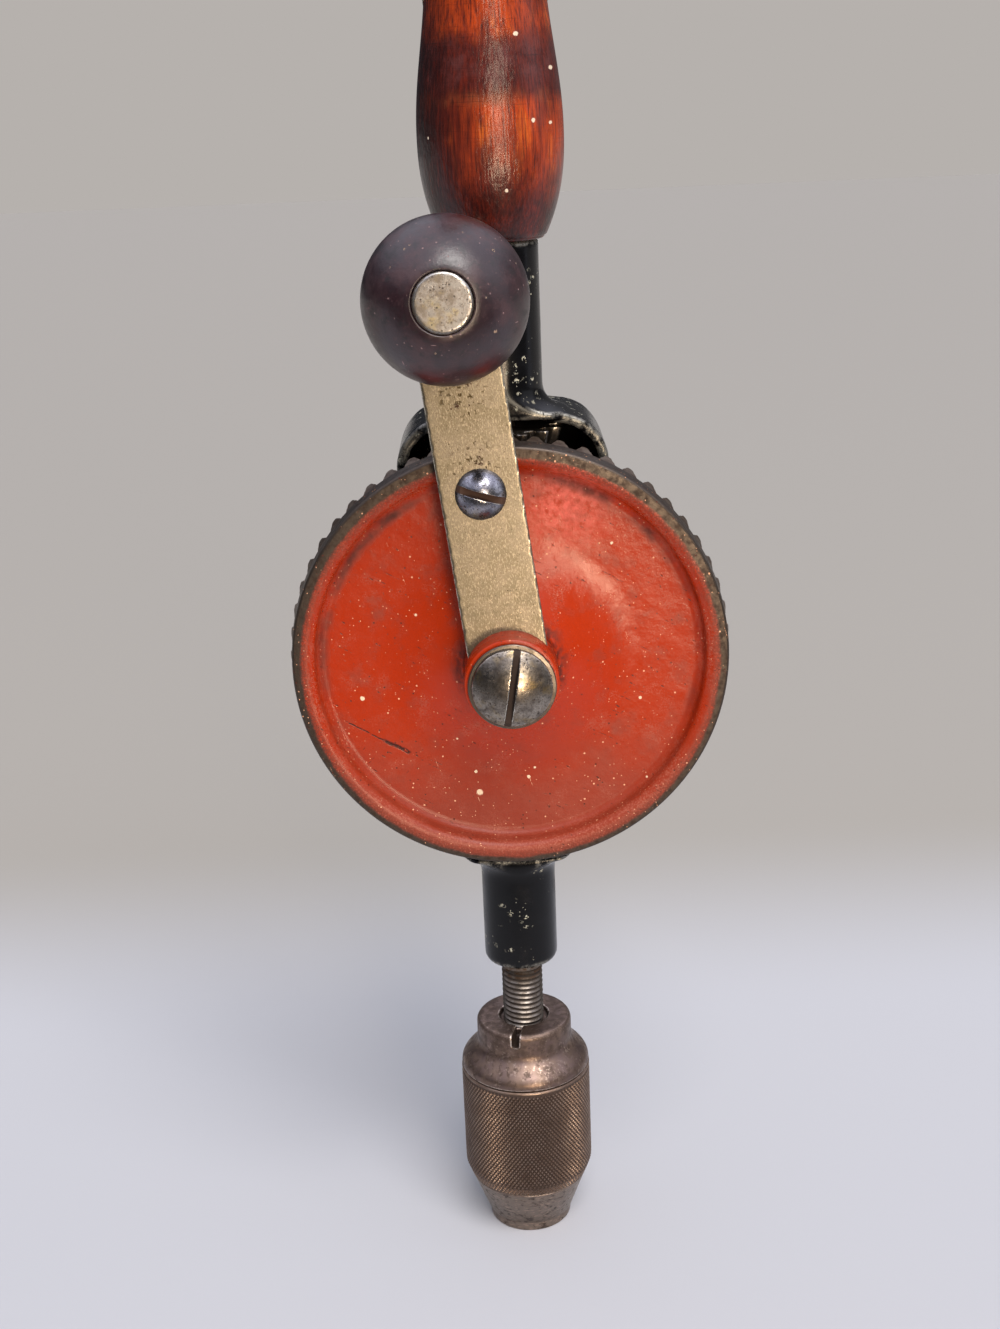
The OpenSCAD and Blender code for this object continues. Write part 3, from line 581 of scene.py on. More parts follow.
@dataclass(frozen=True)
class VarnishedWood(Finish):
    """Turned hardwood, stained and varnished: fine upright grain, orange where the stain is thin and as a
    painted glow on the lit right side, painted shade on the left.
    """

    name: str = "stained_varnished_hardwood"
    low: float = 0.2
    ground: Layer = Layer("#3d1410", 0.0, 0.3)
    red: Layer = Layer("#642013", 0.0, 0.3)
    orange: Layer = Layer("#b03f0e", 0.0, 0.28)
    amber: Layer = Layer("#cb611b", 0.0, 0.3)
    dark: Layer = Layer("#1e0b0b", 0.0, 0.34, -0.006 * MM)
    haze_and_sheen: Layer = Layer("#5c2f2d", 0.0, 0.42)
    worn: Layer = Layer("#8a4526", 0.0, 0.42)
    spatter: Layer = Layer("#e2cfb8", 0.0, 0.5, 0.05 * MM)
    orange_foot: Pair = (6 * MM, 19 * MM)
    orange_end: Pair = (28.8 * MM, 25.5 * MM)
    orange_side: Pair = (-10 * MM, -1 * MM)
    orange_top: Pair = (36 * MM, 42 * MM)
    dark_foot: Pair = (14 * MM, 1 * MM)
    shade_and_stain_left: Pair = (4 * MM, 14 * MM)
    worn_band: tuple[float, ...] = (25 * MM, 27.2 * MM, 27.6 * MM, 30 * MM)
    haze_and_sheen_band: tuple[float, ...] = (28 * MM, 32 * MM, 35 * MM, 40 * MM)
    grain: Triple = (1.0, 1.0, 22.0)
    turned: Triple = (40.0, 40.0, 1.0)
    spatter_at: tuple[Triple, ...] = (
        (5.5 * MM, 39.0 * MM, 0.55 * MM), (12.2 * MM, 32.7 * MM, 0.5 * MM), (8.4 * MM, 23.1 * MM, 0.5 * MM),
        (11.8 * MM, 22.5 * MM, 0.4 * MM), (2.7 * MM, 10.2 * MM, 0.4 * MM))

    def paint(self) -> bpy.types.Material:
        """Lay grain, orange zones of thin stain and painted glow, the hazy band with its painted sheen, painted
        shade on the left and spatter over the stain.

        Returns:
            The finished material.
        """
        s = Surface(self.name, self.ground)
        low = self.low
        s.lay(self.red, s.mottle(0.5 * MM, 0.34, 0.74, stretch=self.grain))
        # Lower orange zone, leaning to the right: thin stain, and painted glow on the side the light falls on.
        self._orange_zone(s, s.along(UP, *(low + h for h in self.orange_foot), 3 * MM, 7 * MM),
                         s.along(UP, *(low + h for h in self.orange_end), 0.5 * MM, 6 * MM),
                         s.along(RIGHT, *self.orange_side, 2 * MM, 6 * MM))
        self._orange_zone(s, s.along(UP, *(low + h for h in self.orange_top), 1.5 * MM, 6 * MM))
        s.lay(self.worn, *s.band(UP, *(low + h for h in self.worn_band), 0.3 * MM, 6 * MM),
              s.mottle(6 * MM, 0.36, 0.7), s.mottle(0.4 * MM, 0.2, 0.7, stretch=self.grain))
        # Hazy varnish band; its pale purple tone is partly a painted reflection.
        s.lay(self.haze_and_sheen, *s.band(UP, *(low + h for h in self.haze_and_sheen_band), 0.8 * MM, 5 * MM),
              s.mottle(4 * MM, 0.34, 0.74))
        s.lay(self.dark, s.mottle(0.2 * MM, 0.5, 0.8, stretch=(1, 1, 34)))
        s.lay(self.dark, s.along(UP, *(low + h for h in self.dark_foot), 2 * MM, 5 * MM),
              s.mottle(3 * MM, 0.36, 0.72, stretch=(1, 1, 2)))
        s.lay(self.dark, s.mottle(0.3 * MM, 0.56, 0.9, stretch=self.turned))
        # Painted shade on the left side, together with darker stain there.
        s.lay(self.dark, s.along(LEFT, *self.shade_and_stain_left, 1.5 * MM, 7 * MM),
              s.mottle(0.4 * MM, 0.2, 0.6, stretch=self.grain))
        s.lay(self.spatter, s.specks(6 * MM, 0.7 * MM, 0.12))
        for x, rise, radius in self.spatter_at:
            s.lay(self.spatter, s.along(FRONT, 0.0, 1 * MM), s.ring(
                (x, 0.0, low + rise), Keep.FROM_AXLE, radius, 0.6 * radius, 0.1 * MM, 0.6 * MM))
        s.roughen(0.45 * MM, 0.07 * MM, stretch=self.grain)
        s.roughen(0.3 * MM, 0.012 * MM, stretch=self.turned)
        s.roughen(1.1 * MM, 0.13 * MM, stretch=(1, 1, 2.4))
        s.smear(1.8 * MM, 0.1, stretch=(1, 1, 4))
        return s.finish({"Specular IOR Level": 0.22, "Coat Weight": 0.45, "Coat Roughness": 0.17})

    def _orange_zone(self, s: Surface, *zone: Socket) -> None:
        """Let the orange wood show through a zone, most where two slow patterns meet: thin stain there, and
        painted glow where light falls on the handle.

        Args:
            s: Surface that takes the zone.
            zone: Masks of the zone.
        """
        slow = s.mottle(9 * MM, 0.24, 0.66, stretch=(1, 1, 1.6), centre=(6 * MM, 0, 3 * MM))
        s.lay(self.orange, *zone, slow, s.mottle(0.45 * MM, 0.24, 0.62, stretch=self.grain))
        s.lay(self.amber, *zone, slow, s.mottle(5 * MM, 0.5, 0.66, stretch=(0.7, 0.7, 2)),
              s.mottle(0.3 * MM, 0.36, 0.68, stretch=self.grain))


@dataclass(frozen=True)
class KnobLacquer(Finish):
    """Turned knob under dark maroon lacquer: satin from the hand, with fine scratches and nicks."""

    name: str = "maroon_lacquered_hardwood"
    ground: Layer = Layer("#241218", 0.0, 0.31)
    rubbed: Layer = Layer("#3a2226", 0.0, 0.44)
    dark: Layer = Layer("#180d10", 0.0, 0.45)
    scratch: Layer = Layer("#84696a", 0.0, 0.5, -0.012 * MM)
    nick: Layer = Layer("#967e6a", 0.0, 0.6, -0.03 * MM)

    def paint(self) -> bpy.types.Material:
        """Lay rubbed patches, scratches and nicks over the lacquer.

        Returns:
            The finished material.
        """
        s = Surface(self.name, self.ground)
        s.lay(self.rubbed, s.mottle(6 * MM, 0.42, 0.72))
        s.lay(self.dark, s.mottle(2 * MM, 0.5, 0.75, stretch=(1, 3.5, 1)))
        s.lay(self.scratch, s.specks(2.6 * MM, 0.42 * MM, 0.4, (4, 1, 0.8), (0.3, 0.5, 0.9)))
        s.lay(self.scratch, s.specks(2.4 * MM, 0.4 * MM, 0.4, (0.8, 1, 4), (0.5, -0.4, 0.2)))
        s.lay(self.nick, s.specks(1.9 * MM, 0.55 * MM, 0.16), s.mottle(0.3 * MM, 0.42, 0.55))
        s.lay(self.nick, s.specks(4 * MM, 0.9 * MM, 0.2), s.mottle(0.4 * MM, 0.42, 0.54))
        s.lay(self.scratch, s.specks(1.3 * MM, 0.42 * MM, 0.4), s.mottle(6 * MM, 0.34, 0.56))
        s.lay(self.rubbed, s.mottle(0.5 * MM, 0.5, 0.7), s.mottle(3 * MM, 0.4, 0.6))
        s.lay(self.scratch, s.specks(2.0 * MM, 0.34 * MM, 0.6, (4, 4, 0.6), (0.2, 0, 0.3)),
              s.mottle(5 * MM, 0.4, 0.58))
        s.roughen(1.6 * MM, 0.06 * MM)
        s.roughen(0.35 * MM, 0.014 * MM)
        s.smear(2.2 * MM, 0.09)
        return s.finish({"Specular IOR Level": 0.75})


@dataclass(frozen=True)
class WornNickel(Finish):
    """Nickel plate worn to a golden grey: finely pitted, rust-flecked near the screw, bright at edges."""

    name: str = "worn_nickel_plate"
    rust_spots: tuple[Triple, ...] = ()
    drawn: float = 0.0
    hub_at: float = 0.0
    olive_rise: Pair = (34 * MM, 8 * MM)
    ground: Layer = Layer("#867d6f", 1.0, 0.36)
    grey: Layer = Layer("#7b7261", 1.0, 0.44)
    olive: Layer = Layer("#6a6250", 1.0, 0.44)
    pale: Layer = Layer("#a49a88", 1.0, 0.3)
    pit: Layer = Layer("#54462f", 0.8, 0.55, -0.02 * MM)
    rust: Layer = Layer("#4a2f1b", 0.1, 0.75, 0.01 * MM)
    bright: Layer = Layer("#ddd3bd", 1.0, 0.24)

    def paint(self) -> bpy.types.Material:
        """Lay tarnish, pits, rust and rubbed edges over the plate.

        Returns:
            The finished material.
        """
        s = Surface(self.name, self.ground)
        length = (0, self.drawn, 0)
        s.lay(self.olive, s.along(DOWN, *(-self.hub_at - h for h in self.olive_rise), 4 * MM, 8 * MM),
              s.mottle(2.5 * MM, 0.3, 0.7))
        s.lay(self.grey, s.mottle(5 * MM, 0.42, 0.66))
        s.lay(self.pale, s.mottle(0.24 * MM, 0.46, 0.68, stretch=(1, 1, 2.5), turn=length))
        s.lay(self.grey, s.mottle(0.2 * MM, 0.5, 0.68))
        s.lay(self.pit, s.specks(0.42 * MM, 0.22 * MM, 0.4), s.mottle(3 * MM, 0.32, 0.6))
        s.lay(self.pit, s.specks(1.3 * MM, 0.4 * MM, 0.3), s.mottle(0.3 * MM, 0.42, 0.55))
        s.lay(self.pit, s.specks(1.6 * MM, 0.26 * MM, 0.4, (0.4, 1, 4), (0, self.drawn + 0.5, 0)))
        s.lay(self.pale, s.specks(1.5 * MM, 0.24 * MM, 0.4, (0.4, 1, 5), (0, self.drawn - 0.2, 0)))
        for spot in self.rust_spots:
            near = s.ring(spot, Keep.FROM_AXLE, 7.5 * MM, 2.5 * MM, 1.5 * MM, 3 * MM)
            s.lay(self.rust, near, s.specks(0.9 * MM, 0.6 * MM, 0.3), s.mottle(0.4 * MM, 0.44, 0.54))
            s.lay(self.rust, near, s.specks(2.1 * MM, 1.7 * MM, 0.34), s.mottle(0.45 * MM, 0.46, 0.55))
            s.lay(self.pit, near, s.mottle(0.9 * MM, 0.56, 0.66))
        s.lay(self.bright, s.worn(Wear.EDGE, 0.4, 0.9), s.mottle(1.5 * MM, 0.36, 0.56))
        s.roughen(0.26 * MM, 0.012 * MM)
        # Polishing lines are finer than this and are drawn as coarse as they need to show.
        s.roughen(0.2 * MM, 0.005 * MM, stretch=(1, 1, 16), turn=length)
        s.smear(1.2 * MM, 0.1)
        return s.finish()


@dataclass(frozen=True)
class TarnishedNickel(Finish):
    """Nickelled rivet head: pale and mottled by dark tarnish spots, brassy where the plate is thin."""

    name: str = "tarnished_nickel_head"
    ground: Layer = Layer("#aca9a9", 1.0, 0.3)
    brass: Layer = Layer("#a89a72", 1.0, 0.36)
    tarnish: Layer = Layer("#7b736b", 0.9, 0.44)
    spot: Layer = Layer("#4a423a", 0.6, 0.55, -0.015 * MM)
    bright: Layer = Layer("#e6e1d6", 1.0, 0.24)

    def paint(self) -> bpy.types.Material:
        """Lay brassy patches and tarnish spots over the plate.

        Returns:
            The finished material.
        """
        s = Surface(self.name, self.ground)
        s.lay(self.tarnish, s.mottle(2.2 * MM, 0.42, 0.66))
        s.lay(self.brass, s.mottle(3.5 * MM, 0.5, 0.7, centre=(2 * MM, 0, 1 * MM)))
        s.lay(self.tarnish, s.mottle(0.5 * MM, 0.5, 0.66))
        s.lay(self.spot, s.specks(0.6 * MM, 0.46 * MM, 0.5), s.mottle(2 * MM, 0.44, 0.56))
        s.lay(self.bright, s.worn(Wear.EDGE, 0.35, 0.7))
        s.roughen(0.4 * MM, 0.016 * MM)
        s.smear(0.9 * MM, 0.12)
        return s.finish()


@dataclass(frozen=True)
class ScrewSteel(Finish):
    """Dark screw steel: finely mottled by old blueing and oil, dirt in the slot, rubbed slot lips."""

    name: str = "dark_screw_steel"
    ground: Layer = Layer("#a0978d", 1.0, 0.27)
    blued: Layer = Layer("#6a625b", 1.0, 0.33)
    golden: Layer = Layer("#8f7c58", 1.0, 0.36)
    stain: Layer = Layer("#332b27", 0.6, 0.5, -0.008 * MM)
    dirt: Layer = Layer("#2c1d14", 0.0, 0.8)
    bright: Layer = Layer("#c9c2b7", 1.0, 0.2)
    patch: float = 1.6 * MM

    def paint(self) -> bpy.types.Material:
        """Lay blueing, golden oil film, stains, slot dirt and bright lips over the steel.

        Returns:
            The finished material.
        """
        s = Surface(self.name, self.ground)
        s.lay(self.blued, s.mottle(self.patch, 0.36, 0.72))
        s.lay(self.golden, s.mottle(2.2 * self.patch, 0.5, 0.74, centre=(3 * MM, 0, 5 * MM)))
        s.lay(self.blued, s.mottle(0.35 * MM, 0.5, 0.68))
        s.lay(self.stain, s.mottle(0.6 * self.patch, 0.58, 0.72))
        s.lay(self.stain, s.specks(0.6 * MM, 0.28 * MM, 0.3))
        s.lay(self.stain, s.specks(1.1 * MM, 0.8 * MM, 0.45), s.mottle(0.35 * MM, 0.42, 0.56))
        s.lay(self.bright, s.worn(Wear.EDGE, 0.5, 0.9), s.mottle(1.2 * MM, 0.4, 0.56))
        s.lay(self.dirt, s.worn(Wear.CREVICE, 0.03, 0.14))
        s.roughen(0.8 * MM, 0.03 * MM)
        s.roughen(0.4 * MM, 0.012 * MM)
        s.smear(0.9 * MM, 0.1)
        return s.finish()


@dataclass(frozen=True)
class BrightSteel(Finish):
    """Turned steel of spindle, pinions and jaws: grey under a film of old oil, dirt in the roots."""

    name: str = "oiled_bright_steel"
    oil_from: float = 66 * MM
    thread_from: float = 38 * MM
    groove_r: float = 4.25 * MM
    ground: Layer = Layer("#7c746c", 1.0, 0.32)
    dull: Layer = Layer("#635a51", 0.95, 0.42)
    oil: Layer = Layer("#4d3825", 0.4, 0.36)
    dirt: Layer = Layer("#2b221c", 0.1, 0.7)
    bright: Layer = Layer("#bdb6aa", 1.0, 0.24)

    def paint(self) -> bpy.types.Material:
        """Lay dull patches, old oil and root dirt over the steel.

        Returns:
            The finished material.
        """
        s = Surface(self.name, self.ground)
        s.lay(self.dull, s.mottle(1.8 * MM, 0.4, 0.64))
        s.lay(self.bright, s.worn(Wear.EDGE, 0.4, 0.85), s.mottle(1.5 * MM, 0.4, 0.58))
        s.lay(self.oil, s.along(UP, self.oil_from - 2 * MM, self.oil_from, 0.8 * MM, 2 * MM),
              s.along(UP, self.oil_from + 9 * MM, self.oil_from + 7 * MM),
              s.mottle(1.8 * MM, 0.34, 0.56))
        s.lay(self.dirt, s.ring(ORIGIN, Keep.FROM_SPINDLE, self.groove_r + 0.3 * MM, self.groove_r),
              s.along(UP, self.thread_from, self.thread_from + 1 * MM))
        s.lay(self.dirt, s.worn(Wear.CREVICE, 0.1, 0.5))
        s.lay(self.dirt, s.specks(0.8 * MM, 0.35 * MM, 0.2))
        # Turning marks are finer than this and are drawn as coarse as they need to show.
        s.roughen(0.25 * MM, 0.006 * MM)
        s.smear(1.5 * MM, 0.08)
        return s.finish()


@dataclass(frozen=True)
class BrownedSteel(Finish):
    """Chuck steel under a brown patina: warm and dull, greyer and stained at the nose, rubbed at edges."""

    name: str = "brown_patina_steel"
    nose: float = 13 * MM
    shoulder: float = 42 * MM
    knurl_r: float = 15.2 * MM
    ground: Layer = Layer("#7d695c", 0.85, 0.42)
    dark: Layer = Layer("#574840", 0.8, 0.5)
    light: Layer = Layer("#9a877a", 0.95, 0.34)
    plum: Layer = Layer("#715f59", 0.95, 0.39)
    grey: Layer = Layer("#7f7268", 0.9, 0.4)
    stain: Layer = Layer("#3d312c", 0.5, 0.55)
    bright: Layer = Layer("#c9b8ab", 1.0, 0.26)
    scratch: Layer = Layer("#a89b91", 1.0, 0.34, -0.01 * MM)

    def paint(self) -> bpy.types.Material:
        """Lay the plum shoulder, greyer nose, patina, scratches and rubbed edges over the brown.

        Returns:
            The finished material.
        """
        s = Surface(self.name, self.ground)
        s.lay(self.dark, s.mottle(5 * MM, 0.42, 0.8))
        s.lay(self.light, s.mottle(3 * MM, 0.5, 0.8))
        foot = self.shoulder - 0.4 * MM
        s.lay(self.plum, s.along(UP, foot, foot + 0.2 * MM), s.mottle(3 * MM, 0.3, 0.66))
        above = s.along(UP, foot, self.shoulder)
        s.lay(self.dark, above, s.mottle(1.6 * MM, 0.48, 0.66))
        s.lay(self.light, above, s.mottle(0.7 * MM, 0.52, 0.68), s.mottle(4 * MM, 0.4, 0.6))
        s.lay(self.dark, s.along(UP, self.shoulder + 5 * MM, self.shoulder + 8 * MM, 0.6 * MM),
              s.mottle(2 * MM, 0.34, 0.7))
        nose = s.along(UP, self.nose + 0.8 * MM, self.nose - 1.2 * MM, 0.6 * MM, 3 * MM)
        s.lay(self.grey, nose)
        s.lay(self.stain, nose, s.mottle(1.1 * MM, 0.52, 0.68, stretch=(1.5, 1.5, 0.8)))
        s.lay(self.light, nose, s.mottle(0.8 * MM, 0.52, 0.66, stretch=(1.8, 1.8, 0.6)))
        s.lay(self.scratch, nose, s.specks(1.3 * MM, 0.3 * MM, 0.4, (3, 3, 0.8)))
        s.lay(self.stain, s.specks(1.0 * MM, 0.36 * MM, 0.2))
        s.lay(self.stain, s.specks(3 * MM, 0.9 * MM, 0.2), s.mottle(0.4 * MM, 0.42, 0.55))
        # The knurl's roots are darker and its diamond tips lighter: rubbed metal, with a painted glint on the
        # tips.
        s.lay(self.dark, s.ring(ORIGIN, Keep.FROM_SPINDLE, self.knurl_r, self.knurl_r - 0.2 * MM),
              s.ring(ORIGIN, Keep.FROM_SPINDLE, self.knurl_r - 0.6 * MM, self.knurl_r - 0.4 * MM),
              s.along(UP, self.shoulder - 1 * MM, self.shoulder - 1.1 * MM))
        s.lay(self.light, s.ring(ORIGIN, Keep.FROM_SPINDLE, self.knurl_r - 0.14 * MM, self.knurl_r),
              s.mottle(4 * MM, 0.4, 0.62), s.along(UP, self.shoulder - 0.6 * MM, self.shoulder - 0.7 * MM))
        s.lay(self.bright, s.worn(Wear.EDGE, 0.22, 0.6), s.mottle(1.8 * MM, 0.34, 0.54))
        s.lay(self.stain, s.worn(Wear.CREVICE, 0.2, 0.7))
        s.roughen(1.2 * MM, 0.02 * MM)
        s.roughen(0.5 * MM, 0.012 * MM)
        s.smear(1.6 * MM, 0.14)
        return s.finish()


@dataclass(frozen=True)
class PlainFloor(Finish):
    """Pale matt board, cool under the drill and a little warmer where it runs back."""

    name: str = "pale_matt_board"
    ground: Layer = Layer("#c9cbd5", 0.0, 0.85)
    back: Layer = Layer("#aeaaa6", 0.0, 0.85)
    mirrored: Layer = Layer("#3a3836", 0.0, 0.85)
    runs_back: Pair = (90 * MM, 230 * MM)
    glare: Pair = (120 * MM, 300 * MM)

    def paint(self) -> bpy.types.Material:
        """Blend the two tones, keep the glare of the near floor out of reflections, add a fine tooth.

        Returns:
            The finished material.
        """
        s = Surface(self.name, self.ground)
        s.lay(self.back, s.along(BACK, *self.runs_back))
        s.lay(self.mirrored, add(s.tree, "ShaderNodeLightPath", out="Is Glossy Ray"),
              s.along(FRONT, *self.glare))
        # The board's tooth is finer than this and is drawn as coarse as it needs to show.
        s.roughen(0.8 * MM, 0.02 * MM)
        return s.finish()


def arc(centre: Pair, radius: float, start: float, end: float, steps: int) -> Outline:
    """Return points on an arc of an outline.

    Args:
        centre: Centre as radius and height.
        radius: Radius of the arc.
        start: First angle in degrees.
        end: Last angle in degrees.
        steps: Number of chords.

    Returns:
        Points as radius and height.
    """
    angles = [math.radians(start + (end - start) * i / steps) for i in range(steps + 1)]
    return [(centre[0] + radius * math.cos(a), centre[1] + radius * math.sin(a)) for a in angles]


def settle(mesh: Mesh, crease: float) -> Mesh:
    """Turn a mesh's faces outwards and shade it smooth up to a crease angle in degrees.

    Args:
        mesh: Mesh to settle in place.
        crease: Angle above which an edge stays sharp.

    Returns:
        The same mesh.
    """
    body = bmesh.new()
    body.from_mesh(mesh)
    bmesh.ops.remove_doubles(body, verts=body.verts, dist=0.0005 * MM)
    bmesh.ops.recalc_face_normals(body, faces=body.faces)
    body.to_mesh(mesh)
    body.free()
    mesh.shade_smooth()
    mesh.set_sharp_from_angle(angle=math.radians(crease))
    return mesh


def lathe(name: str, outline: Outline, place: Matrix = Matrix.Identity(4), segments: int = 160,
          crease: float = 38) -> Mesh:
    """Turn a closed outline about local Z.

    Args:
        name: Name of the mesh.
        outline: Points as radius and height; a zero radius makes a pole.
        place: Where the local frame lies.
        segments: Number of steps round the axis.
        crease: Angle past which an edge stays sharp, in degrees.

    Returns:
        The turned mesh.
    """
    points: list[Triple] = []
    rings: list[list[int]] = []
    turns = [2 * math.pi * i / segments for i in range(segments)]
    for radius, height in outline:
        steps = turns if radius > 1e-7 else turns[:1]
        rings.append([len(points) + i for i in range(len(steps))])
        points += [(radius * math.cos(a), radius * math.sin(a), height) for a in steps]
    faces: list[tuple[int, ...]] = []
    for one, two in zip(rings, rings[1:] + rings[:1]):
        if len(one) == len(two) == 1:
            continue
        for i in range(segments):
            corners = [one[i % len(one)], one[(i + 1) % len(one)],
                       two[(i + 1) % len(two)], two[i % len(two)]]
            faces.append(tuple(dict.fromkeys(corners)))
    mesh = bpy.data.meshes.new(name)
    mesh.from_pydata(points, [], faces)
    mesh.transform(place)
    return settle(mesh, crease)


def baked(mesh: Mesh, prepare: Callable[[bpy.types.Object], None]) -> Mesh:
    """Return a mesh with modifiers worked into it.

    Args:
        mesh: Mesh to start from, which is used up.
        prepare: Adds the modifiers to the object that it is given.

    Returns:
        A plain mesh under the same name.
    """
    name = mesh.name
    holder = put(name + "_holder", mesh)
    prepare(holder)
    done = bpy.data.meshes.new_from_object(
        holder.evaluated_get(bpy.context.evaluated_depsgraph_get()))
    bpy.data.objects.remove(holder)
    bpy.data.meshes.remove(mesh)
    done.name = name
    return done


def soften(mesh: Mesh, voxel: float, passes: int) -> Mesh:
    """Rebuild a closed mesh in even small faces and round its edges a little.

    Args:
        mesh: Closed mesh, which is used up.
        voxel: Size of the new faces in metres.
        passes: Number of smoothing passes.

    Returns:
        The rounded mesh, smoothly shaded.
    """
    def prepare(holder: bpy.types.Object) -> None:
        """Add the remesh, worked in millimetres, and the smoothing.

        Args:
            holder: Object that carries the mesh.
        """
        remesh = holder.modifiers.new("remesh", "REMESH")
        remesh.mode = "VOXEL"
        remesh.voxel_size = voxel / MM
        smooth = holder.modifiers.new("smooth", "SMOOTH")
        smooth.factor = 0.5
        smooth.iterations = passes

    mesh.transform(Matrix.Scale(1 / MM, 4))
    done = baked(mesh, prepare)
    done.transform(Matrix.Scale(MM, 4))
    done.shade_smooth()
    return done


def cut(mesh: Mesh, tool: Mesh) -> Mesh:
    """Cut one closed mesh out of another.

    Args:
        mesh: Mesh to cut, which is used up.
        tool: Mesh to take away, which is used up.

    Returns:
        What is left.
    """
    cutter = put("cutter", tool)

    def prepare(holder: bpy.types.Object) -> None:
        """Add the cut.

        Args:
            holder: Object that carries the mesh.
        """
        boolean = holder.modifiers.new("cut", "BOOLEAN")
        boolean.operation = "DIFFERENCE"
        boolean.solver = "EXACT"
        boolean.object = cutter

    done = baked(mesh, prepare)
    bpy.data.objects.remove(cutter)
    bpy.data.meshes.remove(tool)
    return done


def block(size: Triple, place: Matrix) -> Mesh:
    """Return a box of a size, centred on a place, to cut with.

    Args:
        size: Full width along each axis.
        place: Frame of its centre.

    Returns:
        The box.
    """
    body = bmesh.new()
    bmesh.ops.create_cube(body, size=1.0)
    bmesh.ops.transform(body, verts=body.verts, matrix=place @ Matrix.Diagonal((*size, 1.0)))
    mesh = bpy.data.meshes.new("block")
    body.to_mesh(mesh)
    body.free()
    return mesh


def joined(name: str, *parts: Mesh) -> Mesh:
    """Put meshes that belong to one piece into one mesh; the parts are used up.

    Args:
        name: Name of the whole.
        parts: Meshes to put together.

    Returns:
        The whole.
    """
    body = bmesh.new()
    for part in parts:
        body.from_mesh(part)
    mesh = bpy.data.meshes.new(name)
    body.to_mesh(mesh)
    body.free()
    for part in parts:
        bpy.data.meshes.remove(part)
    return mesh


def mark_wear(mesh: Mesh, full: float = 1.2, passes: int = 2) -> Mesh:
    """Store how convex and how hollow a mesh is at each vertex, for rubbed edges and dirt.

    Args:
        mesh: Mesh of even faces.
        full: Bend in radians per millimetre that counts as a full edge.
        passes: Times that the result is spread to neighbours.

    Returns:
        The same mesh.
    """
    count = len(mesh.vertices)
    places = np.empty(count * 3, np.float32)
    mesh.vertices.foreach_get("co", places)
    normals = np.empty(count * 3, np.float32)
    mesh.vertex_normals.foreach_get("vector", normals)
    ends = np.empty(len(mesh.edges) * 2, np.int32)
    mesh.edges.foreach_get("vertices", ends)
    places, normals, ends = places.reshape(-1, 3), normals.reshape(-1, 3), ends.reshape(-1, 2)
    one, two = ends[:, 0], ends[:, 1]
    step = places[two] - places[one]
    length = np.maximum((step * step).sum(1), 1e-14)
    degree = np.maximum(np.bincount(ends.ravel(), minlength=count), 1)
    bend = np.bincount(one, -(normals[one] * step).sum(1) / length, count)
    bend += np.bincount(two, (normals[two] * step).sum(1) / length, count)
    bend = 2 * bend / degree * MM / full
    for _ in range(passes):
        near = np.bincount(one, bend[two], count) + np.bincount(two, bend[one], count)
        bend = 0.5 * bend + 0.5 * near / degree
    for wear, level in ((Wear.EDGE, bend), (Wear.CREVICE, -bend)):
        layer = mesh.attributes.new(wear.value, "FLOAT", "POINT")
        layer.data.foreach_set("value", np.clip(level, 0, 1).astype(np.float32))
    return mesh


def rounded(mesh: Mesh, face: float, smooth: int = 2, full: float = 1.2, passes: int = 1) -> Mesh:
    """Rebuild a closed mesh in small even faces, round its edges and mark its wear.

    Args:
        mesh: Closed mesh, which is used up.
        face: Size of the new faces in metres.
        smooth: Number of smoothing passes.
        full: Bend in radians per millimetre that counts as a full edge.
        passes: Times that the wear is spread to neighbours.

    Returns:
        The rounded mesh.
    """
    return mark_wear(soften(mesh, face, smooth), full, passes)


def fill_slot(mesh: Mesh, wide: float, lean: float, start: float = -math.inf,
              floor: float = -math.inf) -> Mesh:
    """Mark the floor and walls of a straight slot as full of dirt.

    Args:
        mesh: Mesh with its wear marked, the slot's middle plane through local Z.
        wide: Width of the slot in metres.
        lean: Direction of the slot as an angle from local X.
        start: Distance from local Z at which the slot starts.
        floor: Height below which nothing is marked.

    Returns:
        The same mesh.
    """
    soft, ease = 0.12 * MM, 0.02 * MM
    cos, sin = math.cos(lean), math.sin(lean)
    for vertex, mark in zip(mesh.vertices, mesh.attributes[Wear.CREVICE.value].data):
        x, y, z = vertex.co
        if x * cos + y * sin > start and z > floor:
            inside = (wide / 2 + ease - abs(y * cos - x * sin)) / soft
            mark.value = min(max(inside, mark.value, 0.0), 1.0)
    return mesh


